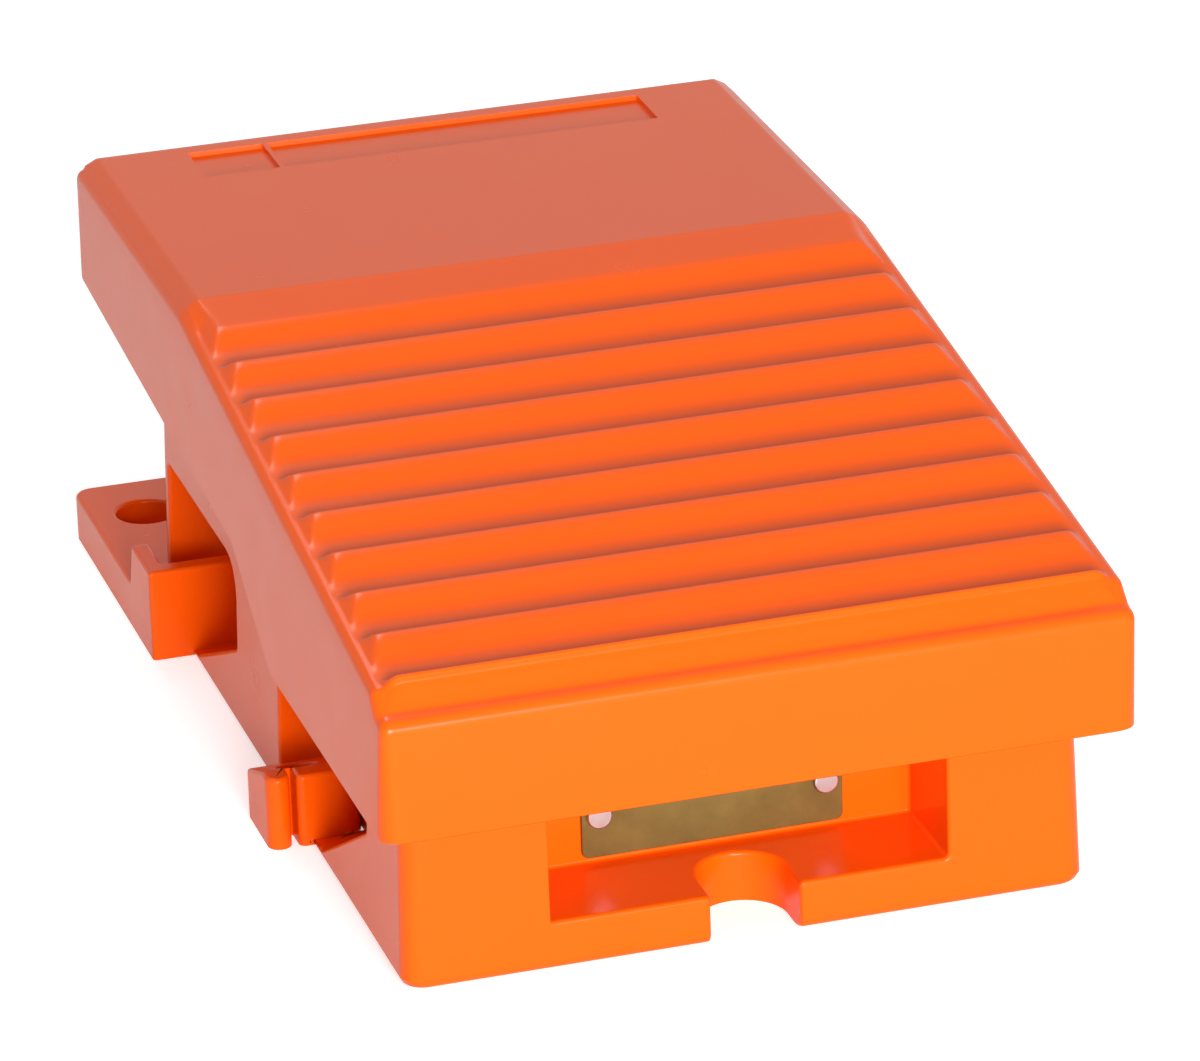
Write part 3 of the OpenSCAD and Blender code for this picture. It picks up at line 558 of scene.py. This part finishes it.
def pedal_surface(form, path, share, inset, columns, radius, ribbed):
    """Grid of one pedal surface: across the top, round both edges and down both sides to the skirt.

    Each row starts from a point of the side outline. Across the top x runs to the half width less the
    radius, and z is the outline's height plus the relief, less the recess. A quarter circle of the radius
    then turns into the side, which runs straight down to the skirt's edge on the drafted plane.
    """
    normal = outward_normals(path)
    arc = np.linspace(0, math.pi / 2, 7)[1:]
    side = np.linspace(0, 1, 9)[1:]
    half_top = form.half - inset - (path[:, 1] - form.skirt) * form.taper
    x = columns[None, :] * (half_top - radius)[:, None]
    y = np.repeat(path[:, :1], len(columns), axis=1)
    z = np.repeat(path[:, 1:], len(columns), axis=1)
    if ribbed:
        facing = np.clip(normal[:, 1:], 0, 1) ** 2
        depth = half_top[:, None] - np.abs(x)
        z = z + facing * form.relief(y, depth) - form.recess(x, y)
    r = radius[:, None]
    arc_x = (half_top - radius)[:, None] + r * np.sin(arc)
    arc_y = path[:, :1] - normal[:, :1] * r * (1 - np.cos(arc))
    arc_z = path[:, 1:] - normal[:, 1:] * r * (1 - np.cos(arc))
    low = skirt_edge(form, share, inset)
    side_y = arc_y[:, -1:] * (1 - side) + low[:, :1] * side
    side_z = arc_z[:, -1:] * (1 - side) + low[:, 1:] * side
    side_x = form.half - inset - (side_z - form.skirt) * form.taper
    arc_x = np.minimum(arc_x, form.half - inset - (arc_z - form.skirt) * form.taper)
    right_x = np.concatenate([arc_x, side_x], axis=1)
    right_y = np.concatenate([arc_y, side_y], axis=1)
    right_z = np.concatenate([arc_z, side_z], axis=1)
    x = np.concatenate([-right_x[:, ::-1], x, right_x], axis=1)
    y = np.concatenate([right_y[:, ::-1], y, right_y], axis=1)
    z = np.concatenate([right_z[:, ::-1], z, right_z], axis=1)
    return np.stack([x, y + LIP_Y, z], axis=-1)


def pedal_columns(form):
    """Positions across the tread from -1 to 1, dense at the rib ends and the recess."""
    half = form.half - (form.top - form.chamfer / 2 - form.skirt) * form.taper - form.edge
    ends = np.concatenate([np.linspace(0, 8, 26), [10, 14]])
    marks = [form.mark_length / 2]
    left_marks = [form.mark_length / 2, form.mark_length / 2 - form.mark_field,
                  form.mark_length / 2 - form.mark_field - form.mark_divider]
    step = 0.06
    right = np.concatenate([half - ends, [m + d for m in marks for d in (-step, step)],
                            np.linspace(0, 30, 5)])
    left = np.concatenate([half - ends, [m + d for m in left_marks for d in (-step, step)], [4, 12]])
    return np.unique(np.round(np.concatenate([-left, right]) / half, 5))


def shell_between(name, outer, inner):
    """Closed shell from two grids of one size: both skins and a rounded rim round their borders."""
    rows, cols = outer.shape[:2]
    count = rows * cols
    border = np.concatenate([
        np.arange(cols), np.arange(1, rows) * cols + cols - 1,
        (rows - 1) * cols + np.arange(cols - 2, -1, -1), np.arange(rows - 2, 0, -1) * cols])
    out_flat, in_flat = outer.reshape(-1, 3), inner.reshape(-1, 3)
    drop = np.array([0, 0, 0.35])
    rim_a = out_flat[border] * 0.82 + in_flat[border] * 0.18 - drop
    rim_b = out_flat[border] * 0.18 + in_flat[border] * 0.82 - drop
    points = np.concatenate([out_flat, in_flat, rim_a, rim_b])
    faces = grid_faces(rows, cols) + [f[::-1] for f in grid_faces(rows, cols, count)]
    ring = len(border)
    here = np.arange(ring)
    after = (here + 1) % ring
    loops = [border, 2 * count + here, 2 * count + ring + here, count + border]
    for a, b in zip(loops[:-1], loops[1:]):
        faces += np.stack([a[here], b[here], b[after], a[after]], axis=1).tolist()
    return add_mesh(name, points, faces)


def build_pedal(materials):
    """The pedal's shell: the ribbed outer surface over a plain inner one, a wall apart.

    The edge radius is the tread's at the top and grows smoothly to the corner's down the front and rear.
    """
    form = PedalForm(sizes().rib_height / MM, sizes().tread_edge / MM, sizes().corner / MM)
    path, share = pedal_rows(form)
    at_front, at_rear = path[:, 0] < 1, path[:, 0] > form.length - 1
    below = np.where(at_front, form.lip, np.where(at_rear, form.top - form.chamfer / 2, 0)) - path[:, 1]
    radius = form.edge + (form.corner - form.edge) * smoothstep((below - form.bend) / 6)
    columns = pedal_columns(form)
    outer = pedal_surface(form, path, share, 0.0, columns, radius, True)
    w = form.wall
    inner_corners = [(w, form.skirt + form.rim), (w, form.lip - w),
                     (w + 2.5, form.valley(form.crest_last) - w),
                     (form.flat_start, form.top - w - 0.4), (form.length - w, form.top - w - 0.4),
                     (form.length - w, form.rear_skirt + form.rim)]
    inner_path = rounded_path(inner_corners, [0, 2, 2, 8, 3, 0], 6)
    run = np.concatenate([[0], np.cumsum(np.linalg.norm(np.diff(inner_path, axis=0), axis=1))])
    at = share * run[-1]
    inner_path = np.stack([np.interp(at, run, inner_path[:, i]) for i in range(2)], axis=1)
    inner = pedal_surface(form, inner_path, share, w, columns, np.full(len(at), 2.0), False)
    shell = shell_between("pedal_shell", outer, inner)
    weld_and_face_out(shell)
    smooth_by_angle(shell, 40)
    finish_piece(shell, materials["pedal_paint"], "pedal", "pedal_paint", "pedal")
    return shell


def extruded_outline(name, outline, x0, x1):
    """Closed solid from a convex (y, z) outline given in millimetres from the lip plane, between two x."""
    ring = np.asarray(outline, float)
    count = len(ring)
    ends = [np.column_stack([np.full(count, x), ring[:, 0] + LIP_Y, ring[:, 1]]) for x in (x0, x1)]
    here = np.arange(count)
    after = (here + 1) % count
    faces = np.stack([here, after, after + count, here + count], axis=1).tolist()
    faces += [here[::-1].tolist(), (here + count).tolist()]
    return add_mesh(name, np.concatenate(ends), faces)


def lathe(name, profile, centre, axis="Z", segments=64):
    """Closed ring swept by turning a closed (radius, height) loop round an upright or sideways axis."""
    loop = np.asarray(profile, float)
    angle = np.linspace(0, 2 * math.pi, segments, endpoint=False)[:, None]
    a = loop[None, :, 0] * np.cos(angle)
    b = loop[None, :, 0] * np.sin(angle)
    h = np.broadcast_to(loop[None, :, 1], a.shape)
    order = {"Z": (a, b, h), "X": (h, a, b)}[axis]
    points = np.stack(order, axis=-1).reshape(-1, 3) + np.asarray(centre, float)
    obj = add_mesh(name, points, grid_faces(segments, len(loop), wrap_rows=True, wrap_cols=True))
    weld_and_face_out(obj)
    return obj


def soften(obj, width, segments=2, angle=30):
    """Bevel modifier on the edges sharper than the angle, with shading that keeps the flats flat."""
    bevel = obj.modifiers.new("Softened edges", "BEVEL")
    bevel.width = width * MM
    bevel.segments = segments
    bevel.limit_method = "ANGLE"
    bevel.angle_limit = math.radians(angle)
    bevel.use_clamp_overlap = True
    bevel.harden_normals = True
    bevel.miter_outer = "MITER_ARC"
    obj.data.shade_smooth()
    return bevel


def weigh_edges(obj, width, angle):
    """Bevel weights by local room: an edge with a short neighbour gets a narrower rounding than the rest.

    Edges on the floor get none and stay sharp. So does the shading where a wide flat meets a curve's facet.
    """
    limit = math.radians(angle)
    on_floor_below, wide_area = 1e-5, 1e-4
    share_of_room, along_limit = 0.4, 0.8
    bm = bmesh.new()
    bm.from_mesh(obj.data)
    weight = bm.edges.layers.float.new("bevel_weight_edge")
    for edge in bm.edges:
        on_floor = max(vert.co.z for vert in edge.verts) < on_floor_below
        turned = edge.is_manifold and edge.calc_face_angle(0) > limit
        wide = max(face.calc_area() for face in edge.link_faces) > wide_area
        edge.smooth = not on_floor and (turned or not wide)
        if on_floor or not turned:
            continue
        along = (edge.verts[1].co - edge.verts[0].co).normalized()
        room = 10 * width * MM
        for vert in edge.verts:
            for other in vert.link_edges:
                across = other.other_vert(vert).co - vert.co
                if other != edge and abs(across.normalized().dot(along)) < along_limit:
                    room = min(room, across.length)
        edge[weight] = min(1.0, share_of_room * room / (width * MM))
    bm.to_mesh(obj.data)
    bm.free()


def merged_copy(name, node, flat_degrees=1.0):
    """Copy of a CAD node's surface with doubled points merged and flat triangles joined into whole faces.

    The shading stored with the triangles doesn't fit the joined faces, so it is left behind.
    """
    stored_shading = ("custom_normal", "sharp_edge", "sharp_face")
    source = frame["nodes"][node]
    mesh = source.data.copy()
    mesh.name = name
    mesh.materials.clear()
    for layer in [layer for layer in mesh.attributes if layer.name in stored_shading]:
        mesh.attributes.remove(layer)
    obj = bpy.data.objects.new(name, mesh)
    bpy.context.collection.objects.link(obj)
    bm = bmesh.new()
    bm.from_mesh(mesh)
    bmesh.ops.remove_doubles(bm, verts=bm.verts, dist=2e-6)
    bmesh.ops.dissolve_limit(bm, angle_limit=math.radians(flat_degrees), use_dissolve_boundaries=False,
                             verts=bm.verts, edges=bm.edges, delimit=set())
    bmesh.ops.recalc_face_normals(bm, faces=bm.faces)
    bm.to_mesh(mesh)
    bm.free()
    mesh.update()
    return obj


def half_disc(y, z, radius, top, steps=24):
    """Convex (y, z) outline of a lug: a straight top and a round lower end."""
    angle = np.linspace(0, -math.pi, steps + 1)
    arc = np.column_stack([y + radius * np.cos(angle), z + radius * np.sin(angle)])
    return np.concatenate([[[y - radius, top], [y + radius, top]], arc])


def box_outline(y0, y1, z0, z1):
    """Corners of an upright rectangle in y and z."""
    return [[y0, z0], [y1, z0], [y1, z1], [y0, z1]]


def build_pedal_works(materials):
    """Lugs, stop ribs, spring posts, screw boss and stiffening web under the tread."""
    form = PedalForm(sizes().rib_height / MM, sizes().tread_edge / MM, sizes().corner / MM)
    lug_r, lug_out, lug_t = 8.0, 33.9, 4.0
    stop_in, stop_out, stop_low = 22.5, 25.5, 47.1
    post_r, post_edge = 5.75, 0.4
    screw_r, screw_gap, boss_r, boss_low, boss_edge = 3.0, 0.02, 7.0, 50.4, 0.3
    web_half, web_depth = 1.5, 9.0
    rib_front, rib_rear = form.flat_start + 2, form.length - form.wall + 0.3
    roof = form.top - form.wall - 0.2
    made = []
    for side, word in ((-1, "left"), (1, "right")):
        lug = extruded_outline("pedal_lug_" + word, half_disc(HINGE_Y, HINGE_Z, lug_r, roof),
                               side * (lug_out - lug_t), side * lug_out)
        made.append((lug, 0.5))
        stop = extruded_outline("stop_rib_" + word, box_outline(rib_front, rib_rear, stop_low, roof + 0.2),
                                side * stop_in, side * stop_out)
        made.append((stop, 0.4))
        under = form.valley(SPRING_Y) - form.wall + 0.3
        profile = [[0, SPRING_TOP], [post_r - post_edge, SPRING_TOP], [post_r, SPRING_TOP + post_edge],
                   [post_r, under], [0, under]]
        post = lathe("spring_post_" + word, profile, [side * SPRING_X, SPRING_Y + LIP_Y, 0], segments=40)
        made.append((post, 0))
    under = form.valley(PLUNGER_Y) - form.wall + 1
    hole_r = screw_r + screw_gap
    profile = [[hole_r, boss_low + boss_edge], [screw_r + boss_edge, boss_low],
               [boss_r - boss_edge, boss_low], [boss_r, boss_low + boss_edge],
               [boss_r, under], [hole_r, under]]
    made.append((lathe("screw_boss", profile, [0, PLUNGER_Y + LIP_Y, 0], segments=48), 0))
    web = extruded_outline("centre_web", box_outline(rib_front, rib_rear, form.top - web_depth, roof + 0.2),
                           -web_half, web_half)
    made.append((web, 0.4))
    for obj, bevel in made:
        weld_and_face_out(obj)
        smooth_by_angle(obj, 35)
        if bevel:
            soften(obj, bevel)
        finish_piece(obj, materials["pedal_paint"], "pedal", "pedal_paint")
    return [obj for obj, _ in made]


# ---------------------------------------------------------------- base

def build_base(materials):
    """Base casting: the CAD surface with its edges rounded as a die casting's are."""
    width = sizes().casting_edge / MM
    base = merged_copy("base", "base_casting")
    weigh_edges(base, width, angle=28)
    bevel = soften(base, width, segments=3)
    bevel.limit_method = "WEIGHT"
    bevel.use_clamp_overlap = False
    finish_piece(base, materials["casting_paint"], "base", "casting_paint", "base_casting")
    return base


# ---------------------------------------------------------------- springs and boot

def wire_coil(name, centre, bottom, height, diameter, wire, turns):
    """Round wire swept along a coil whose pitch closes up over the first and last turn, as ground springs do.

    The centre line is (r cos a, r sin a, z), where a grows evenly and z climbs at the rate 0.28 + w, with w
    going smoothly from 0 at each end to 1. The wire's circle stands square to that line.
    """
    around, per_turn = 14, 40
    t = np.linspace(0, 1, int(turns * per_turn) + 1)
    closed = 0.9 / turns
    weight = smoothstep(t / closed) * smoothstep((1 - t) / closed)
    rate = 0.28 + weight
    climb = np.concatenate([[0], np.cumsum((rate[1:] + rate[:-1]) / 2 * np.diff(t))])
    z = bottom + wire / 2 + climb / climb[-1] * (height - wire)
    angle = 2 * math.pi * turns * t
    r = (diameter - wire) / 2
    slope = np.gradient(z, angle)
    roll = np.linspace(0, 2 * math.pi, around, endpoint=False)[None, :]
    out = np.cos(roll) * wire / 2
    up = np.sin(roll) * wire / 2
    tilt = np.arctan2(slope, r)[:, None]
    radial = r + out
    x = radial * np.cos(angle[:, None]) + up * np.sin(tilt) * np.sin(angle[:, None])
    y = radial * np.sin(angle[:, None]) - up * np.sin(tilt) * np.cos(angle[:, None])
    zz = z[:, None] + up * np.cos(tilt)
    zz = np.clip(zz, bottom, bottom + height)
    points = np.stack([x + centre[0], y + centre[1], zz], axis=-1).reshape(-1, 3)
    rows = len(t)
    faces = grid_faces(rows, around, wrap_cols=True)
    faces += [list(range(around))[::-1], list(range((rows - 1) * around, rows * around))]
    obj = add_mesh(name, points, faces)
    weld_and_face_out(obj)
    smooth_by_angle(obj, 50)
    return obj


def build_springs(materials):
    """Both return springs and the small contact spring."""
    low = 9.1
    for side, word in ((-1, "left"), (1, "right")):
        spring = wire_coil("spring_" + word, (side * SPRING_X, SPRING_Y + LIP_Y), bottom=low,
                           height=SPRING_TOP - low, diameter=10.5, wire=1.3, turns=7)
        finish_piece(spring, materials["spring_steel"], "base", "spring_steel", "return_spring_" + word)
        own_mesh(spring)
    low = 8.6
    small = wire_coil("spring_contact", (0, PLUNGER_Y + LIP_Y), bottom=low, height=9.8, diameter=7,
                      wire=0.7, turns=6)
    finish_piece(small, materials["spring_steel"], "base", "spring_steel", "contact_spring")
    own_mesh(small)


def build_boot(materials):
    """Rubber bellows between the guide and the plunger's head, three soft folds.

    The outer radius is a mean less a cosine with one turn per fold, and the inner lies a wall inside.
    """
    low, high, wall = 34.0, 43.6, 0.9
    mean, swing, folds = 6.8, 1.2, 3
    t = np.linspace(0, 1, 49)
    outer = np.column_stack([mean - swing * np.cos(2 * math.pi * folds * t), low + (high - low) * t])
    inner = outer[::-1] - [wall, 0]
    boot = lathe("boot", np.concatenate([outer, inner]), [0, PLUNGER_Y + LIP_Y, 0], segments=56)
    finish_piece(boot, materials["black_rubber"], "base", "black_rubber", "plunger_boot")
    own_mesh(boot)


# ---------------------------------------------------------------- other pieces

# Each smaller node with its finish and the width of its softened edges in millimetres.
FITTINGS = {
    "rating_plate": ("plate_metal", 0.15), "rating_plate_rivets": ("zinc_steel", 0.25),
    "hinge_pin_left": ("zinc_steel", 0.3), "hinge_pin_right": ("zinc_steel", 0.3),
    "hinge_pin_clips": ("spring_steel", 0.12), "hinge_bushes": ("bronze", 0.12),
    "spring_seats": ("grey_plastic", 0.3), "actuating_screw": ("zinc_steel", 0.2),
    "lock_nut": ("zinc_steel", 0.25), "down_stop_buffers": ("black_rubber", 0.5),
    "rest_stop_pads": ("black_rubber", 0.3), "plunger": ("white_plastic", 0.4),
    "plunger_guide": ("brass", 0.3), "chamber_lid": ("lid_alloy", 0.4), "lid_gasket": ("black_rubber", 0.15),
    "lid_screws": ("zinc_steel", 0.2), "contact_block": ("black_plastic", 0.25),
    "contact_block_screws": ("zinc_steel", 0.2), "closed_contacts": ("silver_contact", 0.1),
    "open_contacts": ("silver_contact", 0.1), "terminal_screws": ("zinc_steel", 0.15),
    "terminal_washers": ("brass", 0.08), "contact_carrier": ("red_plastic", 0.25),
    "contact_bridge": ("silver_contact", 0.1), "earth_screw": ("zinc_steel", 0.2),
    "earth_washer": ("brass", 0.1), "blanking_plug": ("grey_plastic", 0.4),
    "blanking_plug_seal": ("black_rubber", 0.15),
}


def build_fittings(materials):
    """Every smaller piece: the CAD surface with softened edges and its own finish."""
    bodies = {n: o["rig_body"] for n, o in frame["nodes"].items()}
    for node, (slot, width) in FITTINGS.items():
        piece = merged_copy(node + "_finished", node)
        soften(piece, width)
        finish_piece(piece, materials[slot], bodies[node], slot, node)


# ---------------------------------------------------------------- stage

def build_stage():
    """Pale floor, soft studio lights and the camera at the three-quarter view from the front left."""
    scene = bpy.context.scene
    add_floor()
    add_world()
    area_light("key", place=(-0.07, -1.22, 0.27), target=(0, 0, 0.04), size=0.55, power=23)
    area_light("rear", place=(0.0, 0.66, 0.95), target=(0, 0, 0.05), size=0.32, power=2.0, shine=3.0)
    add_camera()
    scene.view_settings.view_transform = "Standard"
    scene.view_settings.look = "None"


def add_floor():
    """Pale floor a hair under the base, so that the two flats don't lie in one plane."""
    reach, low = 1500, -0.02
    points = [[-reach, -reach, low], [reach, -reach, low], [reach, reach, low], [-reach, reach, low]]
    floor = add_mesh("floor", points, [[0, 1, 2, 3]], smooth=False)
    material, nodes, links, shader = start_material("floor")
    shader.inputs["Base Color"].default_value = tuple(colours().floor)
    shader.inputs["Roughness"].default_value = 0.75
    shown_glow, camera_glow = 0.3, 0.25
    lift = math_node(nodes, "MULTIPLY", None, shown_glow)
    links.new(shown_rays(nodes, links), lift.inputs[0])
    rays = nodes.new("ShaderNodeLightPath")
    total = math_node(nodes, "MULTIPLY_ADD", None, camera_glow)
    links.new(rays.outputs["Is Camera Ray"], total.inputs[0])
    links.new(lift.outputs[0], total.inputs[2])
    shader.inputs["Emission Color"].default_value = (1, 1, 1, 1)
    links.new(total.outputs[0], shader.inputs["Emission Strength"])
    floor.data.materials.append(material)


def shown_rays(nodes, links):
    """1 for camera, glossy and transmitted rays, 0 for the rest."""
    rays = nodes.new("ShaderNodeLightPath")
    total = math_node(nodes, "MAXIMUM")
    links.new(rays.outputs["Is Camera Ray"], total.inputs[0])
    links.new(rays.outputs["Is Glossy Ray"], total.inputs[1])
    both = math_node(nodes, "MAXIMUM")
    links.new(total.outputs[0], both.inputs[0])
    links.new(rays.outputs["Is Transmission Ray"], both.inputs[1])
    return both.outputs[0]


def add_world():
    """Grey light from all round, and white wherever the surroundings are seen."""
    world = bpy.data.worlds.new("studio")
    bpy.context.scene.world = world
    world.use_nodes = True
    nodes, links = world.node_tree.nodes, world.node_tree.links
    back = nodes["Background"]
    mix = nodes.new("ShaderNodeMix")
    mix.data_type = "RGBA"
    mix.inputs["A"].default_value = (0.36, 0.36, 0.37, 1)
    mix.inputs["B"].default_value = (1, 1, 1, 1)
    links.new(shown_rays(nodes, links), mix.inputs["Factor"])
    links.new(mix.outputs["Result"], back.inputs["Color"])
    back.inputs["Strength"].default_value = 1.0


def area_light(name, place, target, size, power, shine=1.0):
    """Round soft light at a place, turned to a target; shine scales what it adds to highlights."""
    light = bpy.data.lights.new(name, "AREA")
    light.shape = "DISK"
    light.specular_factor = shine
    light.size = size
    light.energy = power
    obj = bpy.data.objects.new(name, light)
    bpy.context.collection.objects.link(obj)
    back = np.array(place, float) - np.array(target, float)
    obj.matrix_world = looking(place, back, 0.0)


def looking(place, back, roll):
    """Matrix of an object at a place whose -Z looks along minus back, rolled by an angle."""
    back = back / np.linalg.norm(back)
    right = np.cross([0, 0, 1], back)
    right = right / np.linalg.norm(right)
    up = np.cross(back, right)
    c, s = math.cos(roll), math.sin(roll)
    columns = [c * right + s * up, -s * right + c * up, back]
    matrix = np.eye(4)
    matrix[:3, :3] = np.column_stack(columns)
    matrix[:3, 3] = place
    return Matrix(matrix.tolist())


def add_camera():
    """Camera azimuth, height above the horizon and roll, at the place the view was worked out from."""
    azimuth, elevation, roll = math.radians(-16.41), math.radians(23.15), math.radians(-1.72)
    back = np.array([math.sin(azimuth) * math.cos(elevation), -math.cos(azimuth) * math.cos(elevation),
                     math.sin(elevation)])
    data = bpy.data.cameras.new("camera")
    data.lens = 206.6
    data.sensor_width = 36
    data.clip_start = 0.05
    camera = bpy.data.objects.new("camera", data)
    bpy.context.collection.objects.link(camera)
    camera.matrix_world = looking((-0.2437, -0.8416, 0.4014), back, roll)
    bpy.context.scene.camera = camera


# ---------------------------------------------------------------- add-on

FINISHES = {}


class FOOTSWITCH_OT_finishes(bpy.types.Operator):
    """Make the paints, metals, rubbers and plastics"""
    bl_idname = "foot_switch.finishes"
    bl_label = "Make Finishes"
    bl_options = {"REGISTER", "UNDO"}

    def execute(self, context):
        FINISHES.update(make_finishes())
        return {"FINISHED"}


class FOOTSWITCH_OT_pedal(bpy.types.Operator):
    """Build the ribbed pedal with the lugs, posts and ribs under it"""
    bl_idname = "foot_switch.pedal"
    bl_label = "Build Pedal"
    bl_options = {"REGISTER", "UNDO"}

    def execute(self, context):
        build_pedal(FINISHES)
        build_pedal_works(FINISHES)
        return {"FINISHED"}


class FOOTSWITCH_OT_base(bpy.types.Operator):
    """Build the base casting with its rounded edges"""
    bl_idname = "foot_switch.base"
    bl_label = "Build Base"
    bl_options = {"REGISTER", "UNDO"}

    def execute(self, context):
        build_base(FINISHES)
        return {"FINISHED"}


class FOOTSWITCH_OT_springs(bpy.types.Operator):
    """Build the springs and the rubber bellows"""
    bl_idname = "foot_switch.springs"
    bl_label = "Build Springs and Boot"
    bl_options = {"REGISTER", "UNDO"}

    def execute(self, context):
        build_springs(FINISHES)
        build_boot(FINISHES)
        return {"FINISHED"}


class FOOTSWITCH_OT_fittings(bpy.types.Operator):
    """Build the plate, pins, screws, lid, contacts and plugs"""
    bl_idname = "foot_switch.fittings"
    bl_label = "Build Fittings"
    bl_options = {"REGISTER", "UNDO"}

    def execute(self, context):
        build_fittings(FINISHES)
        return {"FINISHED"}


class FOOTSWITCH_OT_stage(bpy.types.Operator):
    """Set the floor, the lights and the camera"""
    bl_idname = "foot_switch.stage"
    bl_label = "Set the Stage"
    bl_options = {"REGISTER", "UNDO"}

    def execute(self, context):
        build_stage()
        return {"FINISHED"}


class FOOTSWITCH_PT_panel(bpy.types.Panel):
    """Sizes, colours and builders of the foot switch"""
    bl_idname = "FOOTSWITCH_PT_panel"
    bl_label = "Foot Switch"
    bl_space_type = "VIEW_3D"
    bl_region_type = "UI"
    bl_category = "Foot Switch"

    def draw(self, context):
        layout = self.layout
        for group in (context.scene.foot_switch_sizes, context.scene.foot_switch_colours):
            column = layout.column()
            for name in group.__annotations__:
                column.prop(group, name)
        for operator in OPERATORS:
            layout.operator(operator.bl_idname)


OPERATORS = (FOOTSWITCH_OT_finishes, FOOTSWITCH_OT_pedal, FOOTSWITCH_OT_base, FOOTSWITCH_OT_springs,
             FOOTSWITCH_OT_fittings, FOOTSWITCH_OT_stage)
CLASSES = (FootSwitchSizes, FootSwitchColours) + OPERATORS + (FOOTSWITCH_PT_panel,)


def register():
    for item in CLASSES:
        bpy.utils.register_class(item)
    bpy.types.Scene.foot_switch_sizes = PointerProperty(type=FootSwitchSizes)
    bpy.types.Scene.foot_switch_colours = PointerProperty(type=FootSwitchColours)


def unregister():
    del bpy.types.Scene.foot_switch_colours
    del bpy.types.Scene.foot_switch_sizes
    for item in reversed(CLASSES):
        bpy.utils.unregister_class(item)


def main():
    register()
    bpy.ops.foot_switch.finishes()
    bpy.ops.foot_switch.pedal()
    bpy.ops.foot_switch.base()
    bpy.ops.foot_switch.springs()
    bpy.ops.foot_switch.fittings()
    bpy.ops.foot_switch.stage()


if __name__ == "__main__":
    main()
